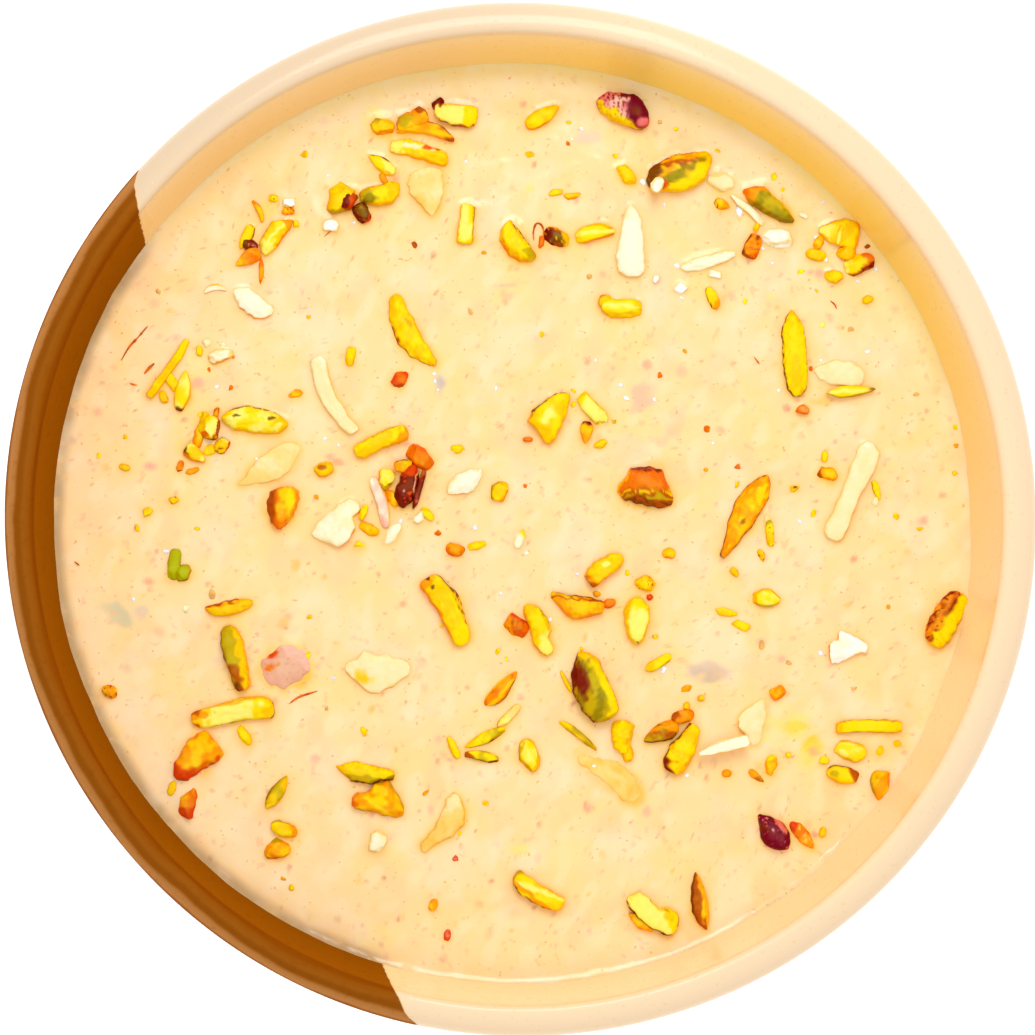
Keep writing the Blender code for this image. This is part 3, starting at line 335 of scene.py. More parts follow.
# Smaller pieces of nut, too small for nodes of their own: form, x, y, heading, length, width, bend, lift above
# the usual depth, all in millimetres and degrees, and how each looks.
PISTACHIO_BITS = (
    ("stick", -15.1, 63.4, -8, 9.6, 2.2, 1.1, 0.3, "amber/gold; wall N rust; end E 0.6 rust; streak N -0.3 0.3 gold"),
    ("chunk", -22.4, 64.2, -25, 4.4, 3.2, 0, 0, "yellow/gold; end NW 0.5 olive; wall S amber"),
    ("leaf", -22.3, 57.9, 145, 5.2, 2.4, 0, 0, "yellow; end E 0.1 lemon; wall N brown; wall S gold"),
    ("stick", -22.0, 55.6, -62, 2.6, 1.1, 0, -0.3, "amber"),
    ("chunk", -28.6, 52.2, 80, 6.0, 4.8, 0, 0, "gold/yellow; end S 0.6 olive; wall N yellow"),
    ("chunk", -25.5, 49.8, -62, 3.4, 2.5, 0, 0.4, "moss/brown; wall mahogany; end NE 0.5 brown; wall SE flame"),
    ("leaf", -44.2, 45.8, 245, 4.6, 1.9, 0, 0, "yellow; wall E brown; end S 0.6 gold; wall W gold"),
    ("wedge", -44.0, 42.2, 212, 4.4, 2.8, 0, 0, "orange/amber; end SW 0.4 gold"),
    ("stick", -42.3, 50.0, -66, 3.8, 1.0, 0.3, 0, "gold; end N 0.6 amber"),
    ("stick", -41.8, 40.2, -88, 4.6, 0.9, 0, -0.1, "orange/amber"),
    ("chunk", -39.8, 52.1, 0, 1.7, 1.3, 0, 0, "yellow; spot S 0.3 0.3 brown"),
    ("stick", -37.5, 50.0, 0, 2.2, 1.2, 0, 0, "amber/gold; fleck 0.08 rust"),
    ("chunk", -36.2, 48.0, 0, 1.3, 1.3, 0, 0, "yellow"),
    ("leaf", 4.1, 66.3, 33, 6.6, 2.7, 0, 0, "yellow/gold; wall S amber; end NE 0.6 gold"),
    ("kernel", 17.8, 56.8, -50, 4.1, 2.3, 0, 0, "yellow/gold"),
    ("stick", 6.2, 53.7, 14, 2.4, 1.1, 0, 0, "gold/yellow"),
    ("stick", 8.9, 53.2, 8, 2.8, 1.1, -0.2, 0, "gold; end S 0.5 amber"),
    ("stick", 12.6, 47.1, 14, 6.6, 2.7, 0.4, 0, "yellow; wall SE amber; wall N gold; end E 0.8 amber; streak N 0 0.3 lemon"),
    ("leaf", 33.7, 52.1, -20, 2.7, 1.8, 0, 0, "amber/gold; wall W brown"),
    ("kernel", 32.0, 36.6, -68, 3.9, 2.0, 0, 0, "yellow/gold; wall W brown; end SE 0.5 amber"),
    ("bar", 38.6, 45.2, 75, 4.1, 2.7, 0, 0.2, "orange/amber; wall W brown; spot NE 0.8 0.2 brown; fleck 0.12 flame; wall S rust"),
    ("chunk", 39.4, 48.4, 75, 2.2, 1.2, 0, 0, "gold/yellow"),
    ("leaf", 48.1, 59.3, 150, 4.0, 1.9, 0, 0.3, "gold; wall S olive; wall N amber"),
    ("chunk", 54.9, 54.0, 80, 1.7, 1.1, 0, 0.4, "gold; wall E brown"),
    ("stick", 53.1, 47.4, 78, 3.8, 0.8, 0, 0.9, "lemon/yellow"),
    ("chunk", 54.4, 44.5, 80, 2.8, 3.0, 0, 0, "gold"),
    ("kernel", 49.7, 46.0, 60, 2.4, 1.6, 0, 0, "amber/gold"),
    ("leaf", 58.7, 49.0, -35, 4.4, 1.6, 0, 0.7, "gold; wall N amber"),
    ("chunk", 56.6, 42.4, 15, 5.4, 3.6, 0, 0, "yellow; end E 0.1 orange; end SE 0.45 mahogany; wall S rust; end W 0.7 lemon"),
    ("kernel", 49.3, 43.9, -10, 3.6, 1.9, 0, 0, "yellow/gold"),
    ("kernel", 52.2, 40.4, -10, 3.2, 2.2, 0, 0, "yellow/gold"),
    ("kernel", 57.8, 36.6, 25, 2.1, 1.4, 0, 0, "gold"),
    ("bar", 17.0, 34.7, 0, 6.6, 2.9, 0, 0, "yellow; streak N 0.2 0.35 lemon; wall S gold; end E 0.8 gold"),
    ("chunk", 14.2, 36.0, 30, 2.4, 1.8, 0, 0.1, "gold; wall N amber"),
    ("bar", -19.3, 22.7, 60, 3.2, 2.2, 0, 0, "orange/flame; wall S rust"),
    ("chunk", -16.0, 10.1, -35, 5.0, 3.2, 0, 0.2, "amber/orange; end SE 0.4 orange"),
    ("wedge", -18.6, 8.7, 25, 3.0, 2.4, 0, 0.3, "amber/gold; wall N brown"),
    ("chunk", -21.5, 6.3, 80, 3.6, 2.8, 0, 0.3, "yellow/lemon; wall W gold; wall S olive"),
    ("chunk", -20.2, 3.4, -50, 3.6, 2.2, 0, -0.2, "amber/gold"),
    ("bar", -3.0, 4.6, 82, 3.3, 2.7, 0, 0, "gold/yellow; wall W moss; end NW 0.7 olive; end SE 0.6 amber"),
    ("chunk", -9.8, 11.4, 12, 2.4, 1.6, 0, 0, "yellow/gold; wall W olive"),
    ("bar", -27.3, 26.4, 80, 3.0, 1.6, 0, 0, "gold/yellow"),
    ("chunk", -36.1, 20.2, 20, 2.5, 1.5, 0, 0, "amber/gold"),
    ("kernel", -31.5, 8.0, 20, 3.3, 2.3, 0, 0, "gold; spot NW 0.3 0.4 rust; wall S amber"),
    ("stick", -25.1, 1.0, 70, 2.6, 1.2, 0, 0.3, "gold/yellow"),
    ("kernel", -24.2, -1.6, -25, 3.5, 1.9, 0, 0.1, "amber/gold"),
    ("chunk", -25.9, -4.2, 10, 2.0, 1.5, 0, 0, "yellow/gold"),
    ("chunk", -14.8, 0.8, -50, 2.6, 1.6, 0, 0, "yellow; wall W lemon"),
    ("kernel", -10.2, -4.9, -10, 3.2, 2.2, 0, 0, "amber/orange; wall E rust"),
    ("stick", -6.7, -4.3, 12, 3.1, 1.3, 0, 0, "yellow/gold"),
    ("stick", 1.6, 13.1, 0, 1.6, 0.8, 0, 0, "orange"),
    ("bar", 12.2, 18.1, -50, 6.4, 2.6, 0, 0, "lemon; wall S gold; wall E olive; end NW 0.7 yellow; wall SE olive"),
    ("wedge", 11.2, 14.3, 262, 3.6, 2.4, 0, 0, "gold/amber; wall N mahogany; end N 0.75 mahogany"),
    ("kernel", 13.5, 12.4, 25, 2.3, 1.4, 0, 0, "gold/yellow"),
    ("leaf", 54.7, 21.4, 5, 8.6, 1.9, 0, 0.7, "yellow; streak N -0.1 0.4 lemon; wall S olive; end E 0.86 brown; end W 0.85 ivory"),
    ("wedge", 46.9, 18.4, 90, 1.7, 2.4, 0, 0, "tan/orange"),
    ("leaf", 59.1, 5.1, 290, 3.4, 1.4, 0, 0, "yellow/gold; wall W olive"),
    ("chunk", 50.9, 7.9, -20, 3.6, 2.3, 0, 0, "amber/gold; end W 0.6 rust"),
    ("kernel", 50.5, 10.7, 80, 2.0, 1.1, 0, 0.1, "yellow"),
    ("chunk", 45.4, 5.4, 10, 1.9, 1.2, 0, 0, "gold; spot N 0.1 0.3 brown"),
    ("chunk", 40.0, -5.7, -75, 2.2, 1.2, 0, 0, "gold; fleck 0.08 rust"),
    ("leaf", -54.3, 20.5, 82, 6.6, 2.7, 0, 0, "lemon/yellow; wall E gold; end S 0.8 brown; wall S mahogany"),
    ("stick", -57.4, 19.5, -70, 2.2, 1.3, 0, -0.1, "gold"),
    ("stick", -56.0, 22.0, -60, 3.6, 1.7, 0, -0.2, "gold/yellow"),
    ("kernel", -51.7, 27.0, 100, 1.7, 1.2, 0, 0, "yellow"),
    ("chunk", -49.8, 14.5, 35, 3.8, 3.6, 0, 0.5, "lemon; wall gold; wall S brown; wall E rust; spot SW 0.8 0.25 orange; end NW 0.5 yellow"),
    ("chunk", -50.8, 16.0, 80, 2.4, 1.8, 0, 0.1, "gold"),
    ("stick", -48.9, 17.1, 75, 1.7, 0.9, 0, 0.3, "rust/amber"),
    ("chunk", -51.8, 13.2, 80, 3.8, 2.2, 0, -0.1, "gold/amber"),
    ("wedge", -52.2, 10.2, -35, 3.9, 2.7, 0, 0.3, "lemon/gold; end W 0.75 brown; wall SW amber; wall S amber"),
    ("chunk", -47.9, 11.8, 55, 2.9, 2.0, 0, 0.3, "lemon/gold; wall E flame; wall S mahogany; wall N brown"),
    ("kernel", -49.9, 11.0, 30, 2.2, 1.7, 0, 0, "gold/yellow"),
    ("kernel", -54.7, 8.3, 70, 2.0, 1.2, 0, 0, "orange/amber; end S 0.6 rust"),
    ("kernel", -52.7, 7.6, 20, 2.4, 1.2, 0, -0.1, "amber"),
    ("kernel", -63.5, 8.1, -15, 1.8, 1.1, 0, 0, "gold"),
    ("chunk", -55.7, 2.9, 0, 1.9, 1.4, 0, 0, "gold; fleck 0.07 rust"),
    ("chunk", -59.8, 0.9, 30, 2.0, 1.5, 0, 0, "yellow/gold"),
    ("stick", -55.5, -7.5, 84, 5.0, 2.3, 0, 0, "lime; wall W olive; wall S moss"),
    ("chunk", -54.0, -8.9, 30, 3.0, 2.5, 0, 0.1, "lime; wall S moss; wall E olive"),
    ("kernel", -65.6, -27.9, -30, 2.7, 2.0, 0, 0, "gold/amber; fleck 0.2 rust"),
    ("kernel", -44.1, -34.9, -60, 3.6, 1.8, 0, -0.1, "gold/yellow"),
    ("chunk", -53.0, -45.8, 80, 5.2, 2.9, 0, 0, "orange/amber; end S 0.2 flame; end NW 0.6 gold"),
    ("kernel", -55.6, -43.4, 70, 2.4, 1.5, 0, 0, "gold/yellow"),
    ("kernel", -56.7, -48.7, 0, 1.6, 1.3, 0, 0, "yellow"),
    ("leaf", -38.8, -44.1, 60, 6.2, 2.3, 0, 0, "olive/gold; wall W moss; wall E gold; end S 0.5 yellow"),
    ("kernel", -37.8, -50.0, -18, 4.6, 2.4, 0, 0, "gold/yellow; wall N olive; end E 0.7 amber"),
    ("chunk", -38.8, -53.1, 15, 4.4, 3.0, 0, 0, "amber/gold; wall S orange; end N 0.7 olive"),
    ("leaf", -2.7, -27.5, 48, 7.6, 2.6, 0, 0, "orange/amber; streak NW -0.4 0.3 gold; wall NW yellow; wall SE brown; end NE 0.8 amber"),
    ("leaf", -5.4, -35.4, 205, 7.2, 2.0, 0, 0, "olive/yellow; wall S brown; end W 0.6 gold"),
    ("stick", -1.5, -31.9, 47, 5.0, 1.5, 0, 0, "lemon/honey; wall W olive"),
    ("stick", -5.9, -38.4, -12, 5.6, 1.8, 0.2, 0, "yellow/olive; end W 0.6 rust; wall S brown"),
    ("stick", -10.5, -36.9, -65, 3.8, 1.3, 0, 0, "yellow/gold"),
    ("chunk", -0.2, -17.2, -40, 4.2, 3.4, 0, 0.1, "orange/flame; end W 0.5 amber; fleck 0.1 rust"),
    ("kernel", 14.9, -13.5, 20, 2.2, 1.5, 0, 0, "orange/amber"),
    ("chunk", 20.8, -10.2, -25, 3.4, 2.4, 0, 0, "gold/yellow; fleck 0.08 rust; wall N amber"),
    ("kernel", 24.7, -5.4, 0, 2.2, 1.7, 0, 0, "gold; wall S amber"),
    ("stick", 22.8, -23.3, 30, 4.9, 1.8, 0, 0, "yellow/gold; wall S olive"),
    ("leaf", 23.3, -34.6, 205, 6.2, 3.0, 0, 0, "rust/olive; wall S brown; streak N 0.5 0.2 amber; end NE 0.6 amber"),
    ("kernel", 26.9, -31.9, 15, 3.8, 2.2, 0, 0.1, "amber/orange; end W 0.6 rust"),
    ("kernel", 27.5, -30.3, 80, 1.5, 1.1, 0, 0, "gold"),
    ("kernel", 29.9, -29.0, 0, 1.2, 1.0, 0, 0, "gold"),
    ("stick", 9.8, -35.0, -38, 7.6, 1.2, 0.3, 0, "gold/olive; wall N olive; end NW 0.6 yellow"),
    ("kernel", 1.8, -38.2, -74, 5.5, 3.1, 0, 0, "lemon/yellow; wall gold; wall W olive"),
    ("stick", 7.8, -26.3, -65, 4.0, 0.9, 0, -0.1, "gold/yellow"),
    ("kernel", 17.9, -38.0, 85, 2.6, 2.0, 0, 0, "gold"),
    ("stick", -13.7, -62.2, 75, 2.0, 1.4, 0, 0, "gold/amber"),
    ("chunk", 13.0, -73.7, 0, 2.4, 1.2, 0, 0.3, "yellow/gold"),
    ("kernel", 40.6, -12.6, -4, 4.9, 2.9, 0, 0, "yellow/lemon; wall gold; wall S olive"),
    ("stick", 41.3, -2.0, -84, 4.4, 1.5, 0, 0, "gold/yellow; end N 0.6 olive; fleck 0.07 rust"),
    ("stick", 35.5, -8.4, -45, 1.7, 1.2, 0, 0, "gold"),
    ("stick", 34.0, -15.0, -15, 3.9, 1.3, 0, 0, "yellow/gold"),
    ("stick", 36.5, -17.1, -20, 3.3, 1.5, 0, 0, "yellow/gold"),
    ("kernel", 54.4, -37.6, -12, 5.5, 3.3, 0, 0, "lemon/yellow; wall S gold; wall N gold"),
    ("kernel", 53.2, -41.4, -10, 5.5, 2.8, 0, 0, "yellow/gold; wall N brown; end E 0.5 rust; spot W 0.5 0.3 olive"),
    ("wedge", 59.4, -43.3, 262, 5.0, 4.0, 0, 0, "gold/amber; wall W olive; end S 0.6 amber; wall E amber"),
    ("kernel", 50.1, -39.1, 0, 1.8, 1.4, 0, -0.1, "yellow"),
    ("kernel", 44.2, -38.2, 0, 1.1, 0.9, 0, -0.1, "yellow"),
    ("kernel", 41.3, -39.9, 78, 3.5, 2.1, 0, 0, "gold/amber; end N 0.6 yellow"),
    ("leaf", 39.0, -41.7, -40, 3.3, 1.4, 0, 0, "amber/rust"),
    ("kernel", 59.4, -37.6, 60, 2.1, 1.5, 0, -0.1, "yellow/gold"),
    ("kernel", 62.3, -36.4, 0, 1.6, 1.2, 0, -0.1, "gold"),
    ("chunk", 42.6, -28.1, 30, 2.6, 2.0, 0, 0, "gold/amber"),
    ("kernel", 34.1, -41.2, 0, 1.7, 1.3, 0, 0, "amber"),
    ("leaf", 46.5, -51.2, -50, 5.8, 2.6, 0, -0.2, "orange/amber; fleck 0.2 syrup; end NW 0.5 flame"),
    ("kernel", 49.8, -50.8, 80, 1.7, 1.2, 0, 0, "gold"),
    ("kernel", 50.7, -55.0, 0, 1.2, 1.0, 0, 0, "yellow"),
    ("wedge", 20.0, -65.0, 148, 4.8, 2.7, 0, -0.1, "gold/amber; wall N mahogany; wall S amber"),
    ("chunk", 3.8, 45.4, 78, 2.3, 1.3, 0, -0.1, "flame/orange"),
)
SKIN_BITS = (
    ("chunk", -13.2, 68.0, 40, 2.3, 1.3, 0, 0.5, "mahogany; end S 0.5 rust"),
    ("chunk", -27.8, 51.9, 62, 3.4, 2.2, 0, 1.0, "mahogany; end E 0.2 flame; end NE 0.6 rust; wall S rust"),
    ("chunk", -43.5, 44.4, -20, 2.6, 1.6, 0, 0.5, "mahogany/rust; fleck 0.2 pink; end W 0.5 brown"),
    ("chunk", 6.4, 46.3, -20, 4.6, 2.8, 0, 0, "brown/rust; end W 0.4 mahogany; end E 0.4 gold; wall N amber; fleck 0.06 gold"),
    ("stick", -16.1, 4.9, 75, 7.0, 1.0, 0, 0.5, "mahogany/pink; end N 0.6 rust"),
    ("chunk", 21.5, -12.6, 0, 1.2, 0.9, 0, 0, "flame"),
    ("chunk", -10.1, -54.7, 0, 1.2, 1.0, 0, -0.1, "flame/pink"),
    ("kernel", -11.4, -67.1, 80, 2.0, 1.2, 0, -0.3, "pink/flame"),
)
ALMOND_BITS = (
    # The honey and amber walls towards the south are painted shade, as on the almond nodes.
    ("chunk", -30.3, 47.5, 0, 3.1, 2.4, 0, 0, "white/ivory; wall milk"),
    ("bar", -37.4, 51.3, 5, 2.1, 1.4, 0, 0.2, "white; wall S honey"),
    ("chunk", 26.7, 38.2, -10, 2.4, 1.9, 0, 0.1, "white"),
    ("kernel", 22.7, 39.6, 80, 1.4, 1.0, 0, 0, "white"),
    ("bar", 32.5, 40.5, -8, 2.3, 1.2, 0, 0, "white/ivory"),
    ("chunk", 42.7, 46.7, -12, 5.6, 3.3, 0, 0, "ivory/white; wall S cream; end E 0.7 cream"),
    ("stick", 37.9, 51.3, -42, 7.2, 1.4, 0.2, 0.2, "ivory/cream; wall SW honey"),
    ("flake", 33.5, 55.8, -20, 4.6, 3.6, 0, -0.4, "milk/cream; wall milk"),
    ("stick", -22.4, 2.7, -75, 8.4, 1.9, 0.3, 0.2, "ivory/rose; wall E honey; end S 0.7 rose"),
    ("chunk", -16.1, 0.2, 60, 2.4, 1.7, 0, 0, "ivory; wall S cream"),
    ("kernel", -20.4, -2.4, 50, 4.2, 2.2, 0, -0.2, "cream/ivory; wall milk"),
    ("chunk", 0.2, -3.1, 65, 3.3, 2.0, 0, -0.1, "ivory/cream; end NE 0.5 yellow"),
    ("flake", -48.2, 26.3, 15, 4.2, 2.4, 0, 0, "ivory/cream; wall SW amber; wall S amber; end E 0.7 honey"),
    ("chunk", -50.5, 28.4, 30, 1.8, 1.3, 0, -0.1, "cream"),
    ("stick", -49.2, 37.1, 8, 3.6, 1.1, 0.6, 0, "cream/ivory; wall N gold; wall S rose"),
    ("chunk", 59.0, 3.3, 60, 2.0, 1.2, 0, -0.2, "cream"),
    ("stick", 41.0, 0.1, 80, 2.0, 1.3, 0, -0.2, "honey/cream"),
    ("kernel", -22.8, -52.0, 78, 4.2, 3.0, 0, -0.2, "ivory/cream; wall milk"),
    ("chunk", 47.1, 50.5, -35, 1.8, 1.1, 0, 0, "ivory"),
    ("flake", 22.6, 54.8, 60, 2.7, 2.2, 0, 2.6, "white/ivory; wall cream"),
)

# Saffron and thin skin threads: points along each as (x, y), and its width.
THREADS = (
    (((-60.0, 31.0), (-61.6, 29.1), (-63.0, 27.5), (-64.2, 25.4)), 0.34),
    (((-58.9, 25.0), (-59.7, 24.2), (-60.5, 23.3)), 0.5),
    (((-62.8, 21.7), (-62.2, 21.5), (-61.6, 21.4)), 0.25),
    (((2.7, 45.2), (2.5, 47.0), (3.0, 48.5), (3.9, 48.2), (4.2, 46.8), (3.8, 45.2)), 0.3),
    (((-37.0, -29.9), (-35.6, -28.9), (-34.0, -28.3), (-32.3, -27.8)), 0.36),
    (((51.6, 36.4), (52.3, 35.8), (52.7, 35.0)), 0.25),
    (((-31.7, 45.8), (-30.6, 46.8), (-29.8, 47.0)), 0.2),
    (((38.9, 27.0), (39.8, 25.8)), 0.25),
    (((-71.4, -7.1), (-70.6, -7.7)), 0.25),
)

# Crumbs and dots too small to have a cut shape: x, y, size and paint.
DOTS = (
    (1.8, 60.0, 1.3, "gold"), (16.0, 59.8, 0.8, "gold"), (11.7, 40.0, 1.0, "tan"), (42.3, 56.8, 1.2, "yellow"),
    (43.8, 54.7, 0.8, "yellow"), (57.9, 45.5, 0.9, "rust"), (46.8, 41.2, 0.9, "yellow"), (49.3, 38.0, 0.6, "gold"),
    (37.4, 36.1, 0.9, "yellow"), (-17.0, 10.1, 0.9, "gold"), (-15.1, 8.6, 0.9, "gold"), (-32.7, 3.5, 0.8, "amber"),
    (15.8, 16.1, 0.7, "olive"), (9.1, 21.1, 0.8, "gold"), (9.1, 18.9, 0.9, "gold"), (1.2, 5.5, 0.7, "orange"),
    (23.3, 23.8, 1.0, "orange"), (31.1, 15.1, 1.1, "orange"), (48.6, 1.2, 1.1, "gold"), (50.3, 32.4, 1.1, "lemon"),
    (55.0, 31.7, 1.0, "tan"), (72.3, 15.7, 0.9, "yellow"), (72.5, 12.6, 0.8, "amber"), (72.3, 8.0, 0.9, "gold"),
    (62.4, 0.8, 1.1, "gold"), (36.1, 8.9, 1.0, "orange"), (36.0, 5.9, 0.9, "gold"), (30.9, 8.3, 0.7, "amber"),
    (-46.6, 21.1, 0.8, "orange"), (-48.6, 26.4, 0.8, "orange"), (-50.1, 24.1, 0.7, "orange"),
    (-46.3, 26.1, 0.6, "amber"), (-47.9, 27.9, 1.1, "cream"), (-51.3, 16.6, 1.0, "yellow"),
    (-51.3, 13.2, 0.6, "flame"), (-61.5, -1.7, 1.1, "gold"), (-49.3, -12.4, 1.3, "tan"), (-53.5, -14.6, 1.2, "cream"),
    (-65.1, -39.5, 0.8, "yellow"), (-24.9, -34.3, 1.3, "gold"), (27.4, -27.4, 1.4, "amber"),
    (-36.5, -59.3, 0.9, "gold"), (-13.0, -2.3, 1.2, "orange"), (-12.4, -17.3, 0.7, "gold"), (22.4, -18.9, 0.9, "gold"),
    (16.3, -7.5, 0.8, "gold"), (17.9, -8.6, 0.9, "gold"), (12.8, -12.1, 1.2, "amber"), (12.7, -15.1, 0.8, "gold"),
    (-3.2, -21.4, 0.9, "gold"), (-1.9, -22.6, 0.6, "yellow"), (39.9, -20.3, 1.2, "tan"), (44.4, -23.2, 0.9, "tan"),
    (-51.9, -1.7, 0.8, "gold"), (-33.7, -15.9, 0.8, "gold"), (-33.9, -22.0, 0.9, "yellow"), (-30.9, -30.6, 0.7, "tan"),
    (-14.9, -44.2, 1.0, "amber"), (-9.4, -50.7, 0.7, "gold"), (-5.2, -45.9, 1.0, "gold"), (-37.8, -57.9, 0.8, "amber"),
    (61.0, -14.1, 0.8, "amber"), (66.3, -1.2, 0.9, "gold"), (55.1, -27.4, 0.8, "tan"), (65.9, 21.0, 0.8, "tan"),
    (48.4, 25.1, 0.8, "orange"), (27.4, 27.8, 0.8, "amber"), (3.9, 30.2, 0.9, "gold"), (-7.8, 33.9, 0.9, "tan"),
    (-34.1, 32.8, 0.7, "gold"), (-58.3, 36.6, 0.9, "tan"), (-9.1, 51.1, 0.8, "tan"), (-5.6, 43.6, 0.7, "amber"),
    (8.3, 65.3, 0.8, "gold"), (23.4, 65.6, 0.8, "tan"), (33.0, 61.0, 0.8, "gold"), (-34.8, 59.3, 1.3, "gold"), (-16.9, 44.8, 1.0, "rust"), (26.1, 64.5, 0.9, "yellow"),
    (8.2, 61.8, 0.7, "orange"),
    (10.3, -21.0, 0.7, "gold"), (-63.4, 13.0, 0.8, "gold"), (-67.7, 9.9, 0.9, "yellow"),
)

# White domes beside the nuts that stand for glints of light on the wet kheer, painted highlights: x, y and size.
PAINTED_GLINTS = (
    (36.6, 51.0, 1.9), (26.2, 41.9, 1.3), (-13.7, 23.7, 0.8), (-13.5, 22.5, 0.7), (-13.1, 21.1, 0.8), (-3.6, 21.4, 0.9),
    (16.8, 22.1, 1.0), (17.7, 20.0, 1.3), (22.4, 19.8, 0.8), (10.5, 64.3, 0.9), (8.8, 62.6, 0.7), (20.6, 55.6, 1.5),
    (22.4, 54.8, 1.2), (24.1, 52.0, 0.8), (-43.6, 45.9, 0.8), (-56.8, -5.4, 1.1), (-54.6, -6.1, 0.7),
    (-22.7, -26.7, 1.4), (12.3, -40.0, 1.4), (23.8, -24.3, 1.3), (27.5, -41.5, 1.0), (49.6, -21.6, 1.0),
    (52.9, -20.4, 0.7), (50.4, 52.7, 0.8), (49.3, 46.9, 0.9), (50.9, 43.2, 1.0), (59.3, 41.8, 0.9), (56.3, 39.7, 0.8),
    (42.0, 42.5, 0.8), (26.9, 36.5, 0.9), (12.7, 26.2, 0.7), (-7.0, -1.3, 1.0), (1.4, -5.4, 0.8), (-31.4, 12.9, 0.9),
    (-29.2, 12.0, 0.7), (-19.1, -0.4, 1.2), (-27.0, 0.5, 0.9), (-38.2, -1.4, 0.9), (-29.9, -25.7, 0.9),
    (-2.8, -12.0, 0.8), (9.7, -8.9, 0.9), (5.2, -16.2, 0.9), (32.1, 12.7, 0.8), (43.0, 21.5, 0.9), (57.8, 28.0, 1.1),
    (50.0, 26.5, 0.8), (46.3, -0.1, 0.9), (-62.0, -13.1, 0.9), (-42.3, 9.6, 0.8), (-48.9, 21.3, 0.9),
    (40.4, 44.9, 0.8), (-12.7, 56.7, 0.9), (-8.5, 58.5, 0.8), (-31.0, 55.9, 0.8), (-26.8, 48.2, 0.9),
)

# Stains in the top of the kheer, over what has sunk in it: x, y, length, width, heading, paint and strength.
STAINS = (
    (11.4, 63.0, 4.6, 2.8, -20, (248, 196, 172), 0.8), (20.3, 20.2, 6.0, 4.4, 60, (246, 184, 154), 0.75),
    (25.9, 16.2, 6.6, 3.0, 65, (248, 186, 148), 0.5), (23.6, 13.2, 3.6, 2.4, 20, (246, 184, 146), 0.5),
    (-12.7, 22.2, 4.4, 1.9, 85, (190, 178, 170), 0.8), (-64.4, -15.6, 6.2, 4.2, -35, (198, 190, 150), 0.75),
    (-60.9, -15.0, 3.2, 2.6, 20, (205, 190, 175), 0.5), (31.3, -24.7, 8.2, 4.2, -8, (188, 164, 148), 0.8),
    (23.9, -24.1, 4.5, 3.0, 10, (226, 206, 160), 0.5), (-22.4, -67.1, 8.5, 4.6, -12, (255, 222, 128), 0.7),
    (7.8, -54.1, 9.0, 5.4, 30, (255, 222, 150), 0.5), (-1.6, 38.4, 6.0, 1.0, 10, (240, 172, 150), 0.5),
    (64.1, 7.6, 4.5, 1.2, 60, (248, 214, 140), 0.5), (-39.8, -17.0, 9.0, 6.0, 10, (246, 192, 150), 0.3),
    (42.0, 37.0, 1.6, 1.2, 20, (252, 218, 90), 0.7), (59.0, 44.2, 3.0, 2.0, 20, (255, 220, 90), 0.5),
    (2.0, 54.6, 2.4, 1.8, 30, (255, 226, 110), 0.6), (-23.6, 65.8, 5.0, 3.6, 60, (255, 222, 70), 0.8),
    (-40.9, 50.4, 6.4, 3.4, 60, (255, 210, 90), 0.6), (-32.4, 51.0, 6.4, 2.4, -55, (255, 236, 196), 0.7),
    (0.6, -53.6, 3.6, 2.2, -10, (255, 222, 84), 0.75), (45.4, -33.8, 3.8, 3.0, 20, (255, 200, 0), 1.0),
    (48.2, -37.2, 4.8, 3.6, 60, (255, 196, 0), 1.0),
    (51.6, 33.5, 2.2, 1.6, 40, (240, 190, 140), 0.5), (62.5, 35.1, 2.4, 1.4, -30, (248, 150, 120), 0.6),
    (43.9, -33.7, 9.0, 6.4, 25, (255, 224, 110), 0.55), (47.9, -38.2, 6.0, 4.4, 60, (255, 220, 90), 0.45),
    (28.5, -8.8, 3.0, 2.2, 0, (250, 205, 150), 0.5), (-46.4, -22.9, 6.0, 1.8, 0, (238, 190, 160), 0.4),
    (-53.1, 13.6, 9.0, 8.6, 30, (255, 208, 110), 0.5), (53.3, 46.6, 12.0, 9.6, 20, (255, 214, 130), 0.55),
    (-16.2, 7.9, 13.0, 8.4, 50, (254, 206, 120), 0.5), (-31.0, 41.8, 4.0, 2.0, 0, (248, 210, 170), 0.5),
    (-50.3, 25.6, 8.0, 6.0, 20, (255, 220, 120), 0.5), (-22.2, 57.0, 11.0, 6.0, -20, (255, 206, 120), 0.5),
    (24.3, -53.0, 6.5, 2.4, -20, (252, 214, 140), 0.4), (66.5, -32.5, 6.0, 3.0, 60, (255, 224, 150), 0.4),
    (-2.2, -11.3, 3.4, 1.2, 10, (252, 206, 120), 0.5), (-59.2, -36.1, 4.0, 1.6, 70, (250, 214, 150), 0.4),
    (60.5, 23.6, 5.0, 2.2, 20, (255, 206, 110), 0.5), (51.0, 19.9, 7.0, 1.8, 5, (255, 196, 80), 0.6),
)

# Soft specks in the top of the kheer, and the almonds' paints, which tell the painted shadow and glow round an almond
# from that round a pistachio.
SOFT_SPECKS = 2000
SPECK_PAINTS = ((244, 168, 138), (240, 180, 130), (238, 150, 110), (232, 186, 126), (246, 186, 90), (206, 142, 104))
ALMOND_PAINTS = ("cream", "ivory", "white", "honey", "rose")

# Every cut nut's place, axes, half width, shore, reach and paint, for the kheer that rises round it and carries its
# painted shadow and glow.
outlines = []


def linear(paint):
    """A screen colour from 0 to 255 as the light it stands for: ((share + 0.055) / 1.055) to the power 2.4."""
    shown = np.asarray(PAINT[paint] if isinstance(paint, str) else paint, float) / 255
    return np.where(shown <= 0.04045, shown / 12.92, ((shown + 0.055) / 1.055) ** 2.4)


def smooth(value, low, high):
    """0 up to `low`, 1 from `high` on, and the curve 3 s squared - 2 s cubed of the share s between them."""
    share = np.clip((value - low) / (high - low), 0, 1)
    return share * share * (3 - 2 * share)


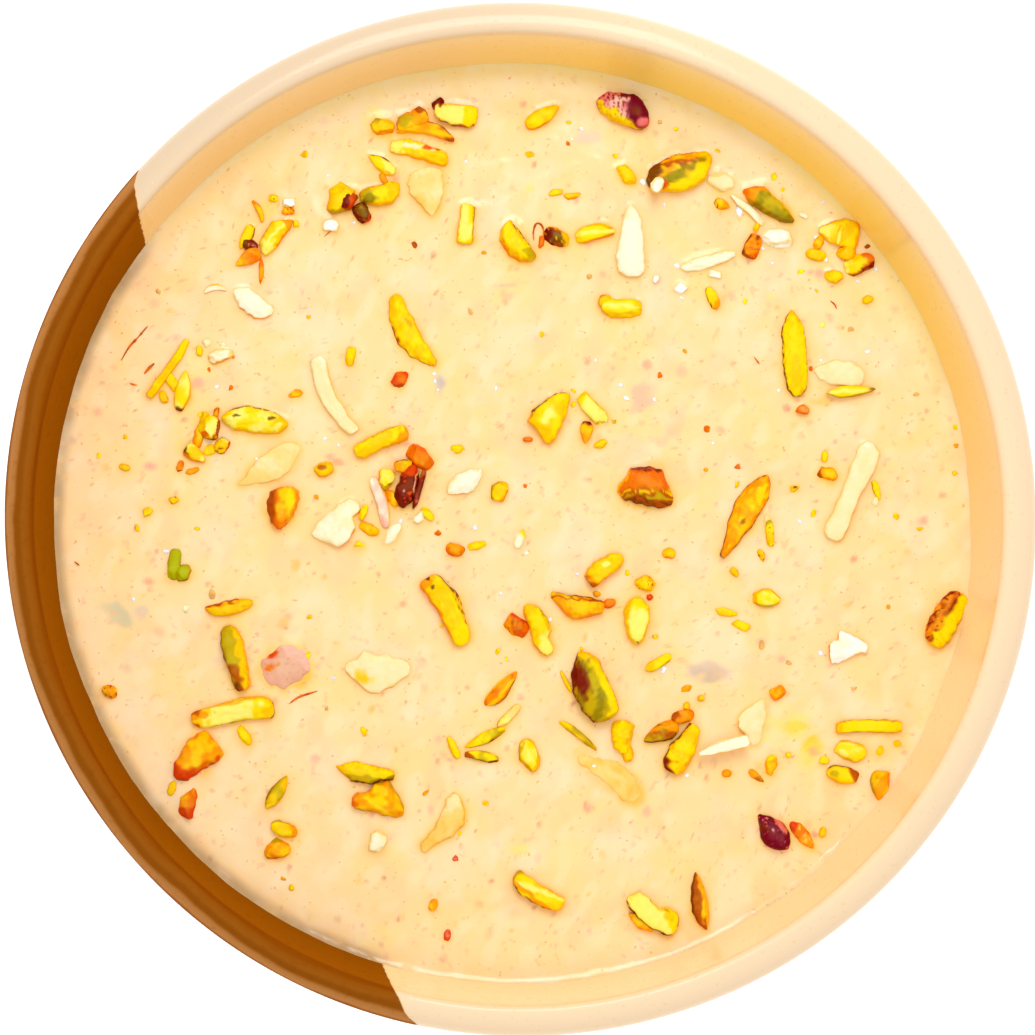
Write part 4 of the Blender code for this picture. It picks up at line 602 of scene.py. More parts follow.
def mixed(first, second, share):
    """first x (1 - share) + second x share, for a share at every point."""
    return first + (second - first) * share[..., None]


def seeded(name):
    """Random numbers that are the same for a name in every run."""
    return np.random.default_rng(zlib.crc32(name.encode()))


def waves(points, size, rng, count=8):
    """Soft unevenness, mostly between -1.5 and 1.5: the sum of `count` sines of the points, divided by
    the root of half their count. Each runs its own way, with waves of about `size`."""
    ways = rng.normal(size=(count, points.shape[-1]))
    ways /= np.linalg.norm(ways, axis=1, keepdims=True)
    ways *= 2 * math.pi / size * rng.uniform(0.7, 1.4, (count, 1))
    phases = rng.uniform(0, 2 * math.pi, count)
    return np.sin(points @ ways.T + phases).sum(axis=-1) / math.sqrt(count / 2)


def axes_of(heading):
    """Three unit rows: along a heading in degrees, to its left, and up."""
    angle = math.radians(heading)
    return np.array([[math.cos(angle), math.sin(angle), 0], [-math.sin(angle), math.cos(angle), 0], [0, 0, 1]])


def closed_tube(rings, around):
    """Faces of a closed tube whose points are its rings, one after the other, and then its two poles.

    Quad (ring i, place j) joins places j and j + 1 of rings i and i + 1. A fan of triangles joins the first
    ring to the tail's pole, and another joins the last ring to the head's.
    """
    ring = np.arange(rings - 1)[:, None] * around
    place = np.arange(around)
    after = (place + 1) % around
    quads = np.stack([ring + place, ring + after, ring + around + after, ring + around + place], axis=-1)
    last = (rings - 1) * around
    tail = np.stack([np.full(around, rings * around), after, place], axis=-1)
    head = np.stack([np.full(around, rings * around + 1), last + place, last + after], axis=-1)
    return quads.reshape(-1, 4), np.concatenate([tail, head])


def point_normals(points, quads, triangles):
    """Unit normals: at each point, the sum of the cross products of the diagonals or sides of its faces."""
    across = np.cross(points[quads[:, 2]] - points[quads[:, 0]], points[quads[:, 3]] - points[quads[:, 1]])
    fans = np.cross(points[triangles[:, 1]] - points[triangles[:, 0]], points[triangles[:, 2]] - points[triangles[:, 0]])
    total = np.zeros_like(points)
    np.add.at(total, quads, across[:, None, :])
    np.add.at(total, triangles, fans[:, None, :])
    return total / np.maximum(np.linalg.norm(total, axis=1, keepdims=True), 1e-12)


def sliver(form, length, width, thickness, bend, roll, pitch, rng, rings, around, trim, edges=()):
    """Points of a cut nut that lies along x, the shares of its half length and half width that they stand at.

    Ring s, from -1 to 1, stands at half the length x (s + shift x (1 - s squared)). A piece cut to a given outline
    reaches there from its right edge to its left, straight between the rows of its outline, and closes at its ends as
    (1 - |s|^10)^(1/10). Any other is as wide as its end curve (1 - |s|^p)^(1/p), with p the power of the tail
    or of the head, times 1 - taper x (1 + s) / 2. Both are as thick as the root of their width.
    Round the ring, the reach at an angle is the soft polygon
    (sum over sides of (cos(angle - side) / distance)^crispness)^(-1/crispness), where sides and distances
    wander a little along the piece. Flat cuts then trim any that is
    not cut to a given outline: what lies beyond a plane is pressed onto it. The
    middle is pushed sideways by `bend`, and waves roughen the skin.
    """
    tail_power, head_power, shift, taper, sides, crispness, uneven, cuts, keep = FORMS[form]
    along = np.sin(math.pi / 2 * np.linspace(-1, 1, rings + 2))[1:-1, None]
    angle = np.linspace(0, 2 * math.pi, around, endpoint=False)[None, :]
    if edges:
        at, left, right = np.array(edges, float).T
        ragged = 0.02 * waves(along, 0.5, rng), 0.02 * waves(along, 0.5, rng)
        left = np.interp(along, at, left) + ragged[0][:, None]
        right = np.interp(along, at, right) + ragged[1][:, None]
        middle, shift = (left + right) / 2, 0.0
        full = (left - right) / 2 * (1 - abs(along) ** 10) ** (1 / 10)
    else:
        power = np.where(along < 0, tail_power, head_power)
        full = (1 - abs(along) ** power) ** (1 / power) * (1 - taper * (1 + along) / 2)
        middle = np.zeros_like(along)

    total = 0
    for degrees, distance in sides:
        drift = uneven * np.sin(along * rng.uniform(2, 5) + rng.uniform(0, 6.3))
        side = math.radians(degrees + rng.uniform(-7, 7)) + 2 * drift
        total = total + (np.maximum(np.cos(angle - side), 0) / (distance * (1 + drift))) ** crispness
    reach = total ** (-1 / crispness)

    thick = np.sqrt(np.minimum(full, 1))
    ring = [along + shift * (1 - along ** 2), middle + full * reach * np.cos(angle), thick * reach * np.sin(angle)]
    grid = np.stack([np.broadcast_to(part, reach.shape) for part in ring], axis=-1).reshape(-1, 3)
    grid = np.concatenate([grid, [[-1, middle[0, 0], 0], [1, middle[-1, 0], 0]]])
    for _ in range(0 if edges else cuts):
        way = rng.uniform(0, 2 * math.pi)
        facing = np.array([math.cos(way), math.sin(way), rng.uniform(-0.1, 0.7)])
        kept = 1 - trim * (1 - rng.uniform(keep, 1.0))
        beyond = np.maximum(grid @ facing - kept * np.linalg.norm(facing), 0)
        grid -= beyond[:, None] * facing / (facing @ facing)

    turn, climb = math.radians(roll), math.tan(math.radians(pitch))
    spine, across, rise = (grid * (length / 2, width / 2, thickness / 2)).T
    sideways = across * math.cos(turn) - rise * math.sin(turn) + bend * (0.5 - grid[:, 0] ** 2)
    upward = across * math.sin(turn) + rise * math.cos(turn) + spine * climb
    points = np.column_stack([spine, sideways, upward])
    shares = points[:, :2] / (length / 2, width / 2)

    quads, triangles = closed_tube(rings, around)
    normals = point_normals(points, quads, triangles)
    stretched = points * (0.35, 1, 1)
    size = min(1.0, width / 3.5)
    relief = 0.035 * waves(points, 1.4 * size, rng) + 0.022 * waves(stretched, 0.7 * size, rng, 14)
    points += normals * (relief * size * np.append(np.repeat(thick[:, 0] ** 2, around), [0, 0]))[:, None]
    return points, shares, quads, triangles


def coloured(look, share, normals, points, rng, soft):
    """Screen colours of a cut nut's points, from the phrases of its look, each laid over those before it.

    The base is one paint, or two mottled by waves. `face` covers what looks up; `wall`, what looks sideways,
    or only one way; `rim`, a thin line along those walls; `end`, all beyond a share of the half length towards a way;
    `spot`, a round patch at a distance that way, with its size; `streak`, a line across that way, with its offset and
    width; and
    `fleck`, that share of the surface in fine specks. Edges between paints blend over more where `soft` is
    over 1. The middle of the upward faces is painted paler as a highlight, the steep sides are painted richer
    and darker as shade, and the foot in the milk is richer. All are laid a little deeper than they are to
    look, because the room is bright.
    """
    base, *phrases = [phrase.split() for phrase in look.split(";")]
    first, *second = [np.array(PAINT[name], float) for name in base[0].split("/")]
    mottle = smooth(waves(points, 3.0, rng) + 0.4 * waves(points, 1.0, rng), -1.2 * soft, 1.2 * soft)
    colours = mixed(first, second[0], mottle) if second else np.tile(first, (len(points), 1))
    wobble = waves(points, 1.8, rng)
    fine = waves(points, 0.7, rng, 18)
    for kind, *words, paint in phrases:
        way = axes_of(COMPASS[words[0]])[0] if words and words[0] in COMPASS else None
        sizes = [float(word) for word in words[way is not None:]]
        towards = share @ way[:2] if way is not None else 0
        if kind == "face":
            cover = smooth(normals[:, 2], 0.6, 0.9)
        elif kind == "wall" and way is None:
            cover = smooth(np.hypot(normals[:, 0], normals[:, 1]), 0.5, 0.75)
        elif kind == "wall":
            cover = smooth(normals @ way + 0.05 * wobble, 0.55, 0.8)
        elif kind == "rim" and way is None:
            cover = smooth(np.hypot(normals[:, 0], normals[:, 1]) + 0.05 * fine, 0.86, 0.95)
        elif kind == "rim":
            cover = smooth(normals @ way + 0.05 * fine, 0.78, 0.9)
        elif kind == "end":
            cover = smooth(towards + 0.1 * wobble, sizes[0] - 0.12 * soft, sizes[0] + 0.12 * soft)
        elif kind == "spot":
            distance = np.linalg.norm(share - sizes[0] * way[:2], axis=1) + 0.08 * wobble
            cover = 1 - smooth(distance, (1 - 0.3 * soft) * sizes[1], (1 + 0.3 * soft) * sizes[1])
        elif kind == "streak":
            cover = 1 - smooth(abs(towards - sizes[0] + 0.08 * wobble), 0.4 * sizes[1], 1.2 * sizes[1] * soft)
        else:
            limit = np.quantile(fine, 1 - sizes[0])
            cover = smooth(fine, limit - 0.3, limit + 0.3)
        colours = mixed(colours, np.array(PAINT[paint], float), cover * (1 - 0.12 * smooth(fine, 0, 1.5)))
    # Painted highlight: the middle of the upward faces is paler.
    inner = 1 - smooth(np.linalg.norm(share, axis=1) + 0.15 * wobble, 0.1, 0.9)
    colours = mixed(colours, colours + (255 - colours) * (0.1, 0.16, 0.1), inner * smooth(normals[:, 2], 0.5, 0.9))
    # Painted shade: the steep sides are made richer and darker.
    steep = smooth(np.hypot(normals[:, 0], normals[:, 1]) + 0.08 * fine, 0.5, 0.95)
    colours = mixed(colours, colours * ((1, 0.94, 0.72) if soft > 1 else (1, 0.88, 0.5)), steep)
    wet = 1 - smooth(points[:, 2] + 0.08 * wobble, LEVEL + 0.05, LEVEL + 0.4)
    milky = colours * 0.55 + np.array([255, 215, 130.0]) * 0.45
    return 0.965 * mixed(colours, milky if soft > 1 else colours * (1, 0.93, 0.7), 0.5 * wet)


def placed_sliver(form, place, heading, sizes, bend, roll, pitch, look, rng, rings, around, trim, edges=(),
                  soft=1.0):
    """A cut nut turned to its heading and moved to its place, with its colours: points, quads, triangles, paints.
    Its shore, for the kheer, is the widest reach of each of its rings."""
    points, shares, quads, triangles = sliver(form, *sizes, bend, roll, pitch, rng, rings, around, trim, edges)
    grid = points[:-2].reshape(rings, around, 3)
    left, right = grid[:, :, 1].argmax(axis=1), grid[:, :, 1].argmin(axis=1)
    ring = np.arange(rings)
    axes = axes_of(heading)
    shore = np.concatenate([grid[ring, left], grid[ring, right], points[-2:]])[:, :2]
    reach = grid[:, :, 0].mean(axis=1), grid[ring, left, 1], grid[ring, right, 1]
    outlines.append((place, axes, sizes[1] / 2, shore, reach, look.split()[0].strip(";")))
    points = points @ axes + place
    normals = point_normals(points, quads, triangles)
    paints = coloured(look, shares @ axes[:2, :2], normals, points, rng, soft)
    return points, quads, triangles, paints


def joined(parts):
    """Several (points, quads, triangles, paints) as one: each part's faces count on from the points before it."""
    starts = np.cumsum([0] + [len(part[0]) for part in parts[:-1]])
    return (
        np.concatenate([part[0] for part in parts]),
        np.concatenate([part[1] + start for part, start in zip(parts, starts)]),
        np.concatenate([part[2] + start for part, start in zip(parts, starts)]),
        np.concatenate([part[3] for part in parts]),
    )


def piece(name, points, quads, triangles, paints, finish, slot, stands_for=(), shifted=1.0):
    """A mesh object from millimetre points and faces. Its paints become the point colours "shade". Each point
    moves by its share of the cavity's shift."""
    mesh = bpy.data.meshes.new(name)
    points = points + np.multiply.outer(np.broadcast_to(shifted, len(points)), CAVITY_SHIFT)
    mesh.from_pydata((points * MM).tolist(), [], quads.tolist() + triangles.tolist())
    mesh.shade_smooth()
    if paints is not None:
        shade = mesh.attributes.new("shade", "FLOAT_COLOR", "POINT")
        shade.data.foreach_set("color", np.column_stack([linear(paints), np.ones(len(points))]).ravel())
    mesh.materials.append(finish)
    made = bpy.data.objects.new(name, mesh)
    bpy.context.scene.collection.objects.link(made)
    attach(made, "root")
    if stands_for:
        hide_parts(*stands_for)
    return made


def node_sizes(node, heading):
    """Middle of a CAD node, seen from the kheer's, and its length, width and thickness along a heading."""
    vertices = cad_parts[node].data.vertices
    flat = np.empty(3 * len(vertices))
    vertices.foreach_get("co", flat)
    axes = axes_of(heading)
    along = flat.reshape(-1, 3) / MM @ axes.T
    low, high = along.min(axis=0), along.max(axis=0)
    return (low + high) / 2 @ axes - CAVITY_SHIFT, high - low


def bits(rows, name, finish, slot, soft=1.0):
    """One mesh of the small cut pieces in a table. A bit is 0.6 of its width thick and half sunk."""
    parts = []
    for row, (form, x, y, heading, length, width, bend, lift, look) in enumerate(rows):
        thickness = max(0.9, 0.6 * width)
        place = np.array([x, y, LEVEL + 0.12 * thickness + lift])
        rng = seeded(f"{name} {row}")
        sizes = (length, width, thickness)
        roll = rng.uniform(-8, 8)
        parts.append(placed_sliver(form, place, heading, sizes, bend, roll, 0, look, rng, 26, 24, 1.0, (), soft))
    return piece(name, *joined(parts), finish, slot)


def domes(rows, name, finish, slot, spread, height, rings=5, around=9):
    """One mesh of little lumps, a row for each. Ring i stands at the angle i / rings of a quarter turn up a
    ball that is `height` of its size high and squashed and turned at random, and closes on a pole above and
    one below."""
    parts = []
    for row, (x, y, size, paint) in enumerate(rows):
        rng = seeded(f"{name} {row}")
        rise = np.linspace(-1, 1, rings + 2)[1:-1, None] * math.pi / 2
        angle = np.linspace(0, 2 * math.pi, around, endpoint=False)[None, :]
        reach = 1 + spread * rng.uniform(-1, 1, (1, around)) * np.cos(rise)
        stretch = rng.uniform(0.75, 1.25)
        ball = np.stack([
            np.broadcast_to(np.sin(rise), (rings, around)) * height,
            reach * np.cos(rise) * np.cos(angle) * stretch,
            reach * np.cos(rise) * np.sin(angle) / stretch,
        ], axis=-1).reshape(-1, 3)
        ball = np.concatenate([ball, [[-height, 0, 0], [height, 0, 0]]])[:, [1, 2, 0]] * size / 2
        points = ball @ axes_of(rng.uniform(0, 180)) + (x, y, surface_height(np.array([[x, y]]))[0] + 0.02)
        quads, triangles = closed_tube(rings, around)
        paints = np.array(PAINT[paint], float) * (1 + 0.06 * waves(points, size, rng))[:, None]
        parts.append((points, quads, triangles, np.clip(paints, 0, 255)))
    return piece(name, *joined(parts), finish, slot)


def threads(rows, name, finish, slot):
    """Fine threads: round sections carried along a smooth path through each row's points.

    The path is the Catmull-Rom curve: between points 1 and 2 of four, at share t, it is half of
    2 P1 + (P2 - P0) t + (2 P0 - 5 P1 + 4 P2 - P3) t squared + (3 P1 - P0 - 3 P2 + P3) t cubed. The thread
    is as thick as the root of 1 - s squared at share s from its middle.
    """
    parts = []
    for row, (knots, width) in enumerate(rows):
        rng = seeded(f"{name} {row}")
        knots = np.array(knots, float)
        knots = np.concatenate([[2 * knots[0] - knots[1]], knots, [2 * knots[-1] - knots[-2]]])
        share = np.linspace(0, 1, 8, endpoint=False)[None, :, None]
        p0, p1, p2, p3 = (knots[first:len(knots) - 3 + first, None, :] for first in range(4))
        path = (2 * p1 + (p2 - p0) * share + (2 * p0 - 5 * p1 + 4 * p2 - p3) * share ** 2
                + (3 * p1 - p0 - 3 * p2 + p3) * share ** 3) / 2
        path = np.concatenate([path.reshape(-1, 2), knots[-2:-1]])
        rings, around = len(path), 8
        step = np.gradient(path, axis=0)
        step /= np.linalg.norm(step, axis=1, keepdims=True)
        left = np.stack([-step[:, 1], step[:, 0]], axis=1)
        middle = np.linspace(-1, 1, rings)
        radius = width / 2 * np.sqrt(1.04 - middle ** 2) * (1 + 0.15 * waves(path, 1.0, rng))
        angle = np.linspace(0, 2 * math.pi, around, endpoint=False)[None, :]
        height = surface_height(path) + 0.06 + 0.05 * waves(path, 3.0, rng)
        grid = np.concatenate([
            path[:, None, :] + left[:, None, :] * (radius[:, None] * np.cos(angle))[..., None],
            (height[:, None] + radius[:, None] * np.sin(angle))[..., None],
        ], axis=-1)
        ends = np.column_stack([path[[0, -1]] + step[[0, -1]] * [[-0.1], [0.1]], height[[0, -1]]])
        quads, triangles = closed_tube(rings, around)
        points = np.concatenate([grid.reshape(-1, 3), ends])
        red = smooth(waves(points, 1.5, rng), -1, 1)
        paints = mixed(np.array(PAINT["orange"], float), np.array(PAINT["rust"], float), red)
        parts.append((points, quads, triangles, paints))
    return piece(name, *joined(parts), finish, slot)


def wall_radius(height):
    """Radius of the bowl's inner wall at a height: with h the share of the depth below the wall's top, it is
    the top's radius x (1 - h^side power)^(1 / belly power)."""
    depth = np.clip((INNER_TOP - height) / INNER_DEPTH, 0, 1)
    return WALL_RADIUS * (1 - depth ** SIDE_POWER) ** (1 / BELLY_POWER)


def curve_wall(top_radius, top, depth, turns):
    """(radius, height) down a wall: radius x cos(t)^(2 / belly power), and top - depth x sin(t)^(2 / side
    power), with t from 0 at the top."""
    return np.column_stack([
        top_radius * np.cos(turns) ** (2 / BELLY_POWER), top - depth * np.sin(turns) ** (2 / SIDE_POWER)])


def bowl_profile():
    """The bowl's half section from the middle of its foot, round the lip and to the middle of its floor:
    rows of (radius, height), and each row's distance in millimetres from the crest, positive inwards."""
    quarter = np.linspace(0, math.pi / 2, 14)
    ring_inside = FOOT_RADIUS - FOOT_RING_WIDTH
    edge = 0.6
    foot = np.array([
        (r, FOOT_RECESS + 0.2 * (1 - r / ring_inside)) for r in (4.0, 10.0, 16.0, 22.0, 27.0, ring_inside - 1.4)])
    recess = np.column_stack([
        ring_inside - 1.4 + 1.4 * np.sin(quarter[1:]), FOOT_RECESS - edge - (FOOT_RECESS - 2 * edge) * (1 - np.cos(quarter[1:]))])
    inside_edge = np.column_stack([ring_inside + edge * (1 - np.cos(quarter[1:])), edge * (1 - np.sin(quarter[1:]))])
    outside_edge = np.column_stack([FOOT_RADIUS - edge + edge * np.sin(quarter), edge * (1 - np.cos(quarter))])
    base_turn = math.asin(((OUTER_TOP - FOOT_HEIGHT) / OUTER_DEPTH) ** (SIDE_POWER / 2))
    outer = curve_wall(BOWL_RADIUS, OUTER_TOP, OUTER_DEPTH, np.linspace(base_turn, 0, 50))
    outer[:, 0] = np.maximum(outer[:, 0], FOOT_RADIUS - 0.4)
    lip_out = np.column_stack([
        CREST_RADIUS + (BOWL_RADIUS - CREST_RADIUS) * np.cos(quarter[1:]), OUTER_TOP + (RIM - OUTER_TOP) * np.sin(quarter[1:])])
    lip_in = np.column_stack([
        CREST_RADIUS - (CREST_RADIUS - WALL_RADIUS) * np.sin(quarter[1:]), INNER_TOP + (RIM - INNER_TOP) * np.cos(quarter[1:])])
    inner = curve_wall(WALL_RADIUS, INNER_TOP, INNER_DEPTH, np.linspace(0, math.pi / 2, 60)[1:-1])
    rows = np.concatenate([foot, recess, inside_edge, outside_edge, outer, lip_out, lip_in, inner])
    lengths = np.append(0, np.cumsum(np.linalg.norm(np.diff(rows, axis=0), axis=1)))
    crest = len(rows) - len(inner) - len(lip_in) - 1
    clay = len(foot) + len(recess) + len(inside_edge) + len(outside_edge)
    return rows, lengths - lengths[crest], clay


def turned_bowl(cream, brown, clay):
    """The bowl: its profile turned about the axis in 288 steps, with slight throwing rings on the outside and
    a rim that is out of true by a few hundredths of a millimetre, then closed at both poles."""
    rng = seeded("bowl")
    around = 288
    rows, inward, clay_rows = bowl_profile()
    angle = np.linspace(0, 2 * math.pi, around, endpoint=False)[None, :]
    rings = 0.05 * np.sin(rows[:, 1] * 2.1) * smooth(-inward, 6, 14) * smooth(rows[:, 1], 6, 10)
    radius = (rows[:, 0] + rings)[:, None] * (1 - 0.0006 * (1 + np.sin(2 * angle + 0.7)) / 2)
    height = np.broadcast_to(rows[:, 1][:, None], radius.shape)
    grid = np.stack([radius * np.cos(angle), radius * np.sin(angle), height], axis=-1)
    poles = np.array([[0, 0, FOOT_RECESS + 0.2], [0, 0, FLOOR_HEIGHT]])
    points = np.concatenate([grid.reshape(-1, 3), poles])
    quads, triangles = closed_tube(len(rows), around)

    over_lip = np.clip((inward + LIP_OUTSIDE) / (LIP_OUTSIDE + LIP_INSIDE), 0, 1)
    shifted = np.append(np.repeat(over_lip, around), [0, 1])
    made = piece("glazed_bowl", points, quads, triangles, None, cream, "glaze", ("bowl",), shifted)
    mesh = made.data
    mesh.materials.append(brown)
    mesh.materials.append(clay)
    along = mesh.attributes.new("inward", "FLOAT", "POINT")
    along.data.foreach_set("value", np.append(np.repeat(inward, around), [inward[0], inward[-1]]))
    dip = math.radians(DIP_HEADING)
    beyond = points[:, 0] * math.cos(dip) + points[:, 1] * math.sin(dip) - DIP_DISTANCE
    beyond += 0.5 * waves(points, 45, rng, 4) * smooth(points[:, 2], 0, 50)
    dipped = mesh.attributes.new("beyond_dip", "FLOAT", "POINT")
    dipped.data.foreach_set("value", beyond)
    corners = np.append(beyond[quads].mean(axis=1), beyond[triangles].mean(axis=1))
    finish = (corners > -1.5).astype(int)
    finish[:(clay_rows - 1) * around] = 2
    finish[len(quads):len(quads) + around] = 2
    mesh.polygons.foreach_set("material_index", finish)
    return made


def disc_grid(radius, cells):
    """A square grid laid on a disc: the cell corner (a, b), each from -1 to 1, goes to the radius x the larger
    of them, at the angle pi / 4 x the smaller / the larger from that one's axis. Gives points, quads and the
    numbers of its rim's points in order."""
    a, b = np.meshgrid(np.linspace(-1, 1, cells + 1), np.linspace(-1, 1, cells + 1), indexing="ij")
    wide = abs(a) >= abs(b)
    large, small = np.where(wide, a, b), np.where(wide, b, a)
    turn = math.pi / 4 * small / np.where(large == 0, 1, large)
    angle = np.where(wide, turn, math.pi / 2 - turn)
    points = radius * np.stack([large * np.cos(angle), large * np.sin(angle)], axis=-1).reshape(-1, 2)
    number = np.arange((cells + 1) ** 2).reshape(cells + 1, cells + 1)
    quads = np.stack([number[:-1, :-1], number[1:, :-1], number[1:, 1:], number[:-1, 1:]], axis=-1).reshape(-1, 4)
    rim = np.concatenate([number[-1, :-1], number[:0:-1, -1], number[0, :0:-1], number[:-1, 0]])
    return points, quads, rim


def shore_distances(flat, within):
    """For each nut: the numbers of the kheer's points near it, their distance to the nearest point of its shore
    (0 under the nut itself), where they lie along it, its half width and its paint."""
    for place, axes, half_width, shore, (along, left, right), base in outlines:
        span = np.abs(shore).max(axis=0) + within
        own = (flat - place[:2]) @ axes[:2, :2].T
        near = np.flatnonzero((np.abs(own) < span).all(axis=1))
        own = own[near]
        distance = np.sqrt(((own[:, None, :] - shore[None, :, :]) ** 2).sum(axis=2).min(axis=1))
        under = (own[:, 1] < np.interp(own[:, 0], along, left)) & (own[:, 1] > np.interp(own[:, 0], along, right))
        distance[under & (own[:, 0] > along[0]) & (own[:, 0] < along[-1])] = 0
        yield near, distance, flat[near] - place[:2], half_width, base


def kheer_relief(flat, rng):
    """Rise of the kheer above its level: low waves, soft grains of rice under the skin, a climb of
    0.75 exp(-d / 0.95) towards the wall and one of 0.16 exp(-d / 0.4) towards each nut, at a distance d."""
    rise = 0.10 * waves(flat, 24, rng) + 0.03 * waves(flat, 6.5, rng) + 0.008 * waves(flat, 2.4, rng, 12)
    grains = waves(flat, 4.2, rng, 14)
    rise += 0.035 * smooth(grains, 1.0, 2.0)
    out = np.linalg.norm(flat, axis=1)
    rise += 0.75 * np.exp((out - wall_radius(LEVEL + 0.7)) / 0.95)
    climb = np.zeros(len(flat))
    for near, distance, _, half_width, _ in shore_distances(flat, 2.0):
        climb[near] = np.maximum(climb[near], 0.16 * min(1, half_width / 1.2) * np.exp(-distance / 0.4))
    return rise + climb


def surface_height(flat):
    """Height of the kheer's top at some places."""
    return LEVEL + kheer_relief(flat, seeded("kheer relief"))


def kheer_paints(flat, rng):
    """Screen colours of the kheer's top: cream mottled by waves; painted light a few millimetres from the far wall and
    painted orange shade right against it, where that wall's shadow falls; painted grey where it thins against the brown
    wall, a painted reflection of that wall; painted light in a band inside the near wall;
    a painted shadow and glow round each nut, stronger on its south side; the stains; and soft specks of skin."""
    cream, butter, blush = [np.array(paint, float) for paint in ((255, 214, 151), (255, 213, 136), (252, 202, 147))]
    paints = mixed(cream, butter, 0.6 * smooth(waves(flat, 17, rng), 0.0, 1.6))
    paints = mixed(paints, blush, 0.5 * smooth(waves(flat, 13, rng) + 0.4 * waves(flat, 5, rng), 0.0, 1.8))
    paints = mixed(paints, np.array([255, 222, 170.0]), 0.6 * smooth(waves(flat, 7, rng), 0.4, 1.6))

    # Painted shadow and glow round each nut, in a warm colour, stronger on its south side.
    for near, distance, away, half_width, base in shore_distances(flat, 4.0):
        below = away @ np.array([0.25, -0.97]) / np.maximum(np.linalg.norm(away, axis=1), 0.5)
        glow = np.exp(-distance / 0.45) * (0.6 + 0.3 * below)
        nut = np.array((252, 190, 104) if base.split("/")[0] in ALMOND_PAINTS else (255, 186, 58), float)
        paints[near] = mixed(paints[near], nut, glow * min(1, half_width / 1.2))

    for x, y, length, width, heading, paint, strength in STAINS:
        near = np.flatnonzero(np.linalg.norm(flat - (x, y), axis=1) < length)
        share = (flat[near] - (x, y)) @ axes_of(heading)[:2, :2].T / (length / 2, width / 2)
        distance = np.linalg.norm(share, axis=1) + 0.16 * waves(flat[near], 3, rng)
        paints[near] = mixed(paints[near], np.array(paint, float), strength * (1 - smooth(distance, 0.45, 1.15)))

    for _ in range(SOFT_SPECKS):
        spot = rng.uniform(-72, 72, 2)
        size = rng.choice([0.3, 0.45, 0.6, 0.85, 1.3], p=[0.36, 0.34, 0.2, 0.07, 0.03]) * rng.uniform(0.8, 1.2)
        paint = np.array(SPECK_PAINTS[rng.integers(len(SPECK_PAINTS))], float)
        strength = rng.uniform(0.25, 0.95)
        axes, stretch = axes_of(rng.uniform(0, 180))[:2, :2], rng.uniform(0.6, 1.0)
        near = np.flatnonzero(np.abs(flat - spot).max(axis=1) < 1.5 * size + 0.5)
        distance = np.linalg.norm((flat[near] - spot) @ axes.T / (size, size * stretch), axis=1)
        paints[near] = mixed(paints[near], paint, strength * (1 - smooth(distance, 0.25, 1.0)))

    out = wall_radius(LEVEL) - np.linalg.norm(flat, axis=1)
    dip = math.radians(DIP_HEADING)
    brown_side = smooth(flat @ np.array([math.cos(dip), math.sin(dip)]) - DIP_DISTANCE, -3, 3)
    # Painted reflection: grey where the kheer thins against the brown wall, the dark wall seen in its edge.
    thin = 1 - smooth(out + 0.1 * waves(flat, 9, rng), 0.1, 2.0)
    paints = mixed(paints, np.array([176, 140, 92.0]), 0.8 * thin * brown_side)
    # Painted light within about 7 mm of the far (north) wall, where its shadow falls, and painted orange shade in the
    # last 3 mm against it.
    far = smooth(flat @ np.array([0.3, 0.95]) / 75, 0.3, 0.9) * (1 - brown_side)
    paints = mixed(paints, np.array([255, 234, 176.0]), 0.7 * (1 - smooth(out, 3, 7)) * far)
    paints = mixed(paints, np.array([255, 214, 120.0]), 0.8 * (1 - smooth(out, 0, 3)) * far)
    # Painted light in a band 1.5 to 9 mm inside the near (south-west) wall, where its shadow falls.
    near = smooth(flat @ np.array([-0.8, -0.6]) / 75, 0.6, 0.95)
    paints = mixed(paints, np.array([255, 226, 176.0]), 0.6 * smooth(out, 1.5, 3) * (1 - smooth(out, 5, 9)) * near)
    return np.clip(paints, 0, 255)


def poured_kheer(finish):
    """The kheer: a grid on a disc, then rings out to the wall, down inside it and across the floor, each
    ring just in the wall, and one pole at the bottom."""
    rng = seeded("kheer")
    cells = 270
    inner, quads, rim = disc_grid(70.0, cells)
    angle = np.arctan2(inner[rim, 1], inner[rim, 0])
    ways = np.column_stack([np.cos(angle), np.sin(angle)])
    edge = wall_radius(LEVEL + 0.7) + 0.35
    radii = 70.0 + (edge - 70.0) * np.sin(np.linspace(0, math.pi / 2, 13)[1:])
    collar = (radii[:, None, None] * ways).reshape(-1, 2)
    flat = np.concatenate([inner, collar])
    top = np.column_stack([flat, surface_height(flat)])

    depths = np.array([46.0, 42.0, 36.0, 29.0, 22.0, 16.0, 11.5, FLOOR_HEIGHT - 0.2])
    skirt_radii = wall_radius(depths) + 0.3
    skirt_radii[-1] = 14.0
    skirt = np.concatenate([
        (skirt_radii[:, None, None] * ways).reshape(-1, 2), np.repeat(depths, len(rim))[:, None]], axis=1)
    points = np.concatenate([top, skirt, [[0, 0, FLOOR_HEIGHT - 0.2]]])

    around = len(rim)
    rings = np.concatenate([rim[None, :], len(inner) + np.arange(20 * around).reshape(20, around)])
    after = np.roll(rings, -1, axis=1)
    collars = np.stack([rings[:-1], rings[1:], after[1:], after[:-1]], axis=-1).reshape(-1, 4)
    triangles = np.stack([np.full(around, len(points) - 1), after[-1], rings[-1]], axis=-1)
    paints = np.concatenate([kheer_paints(flat, rng), np.full((len(points) - len(flat), 3), (255, 226, 165.0))])
    return piece("poured_kheer", points, np.concatenate([quads, collars]), triangles, paints, finish, "kheer",
                 ("kheer",))


def finish_of(name):
    """A new material: its node tree and its shader."""
    material = bpy.data.materials.new(name)
    material.use_nodes = True
    return material, material.node_tree, material.node_tree.nodes["Principled BSDF"]


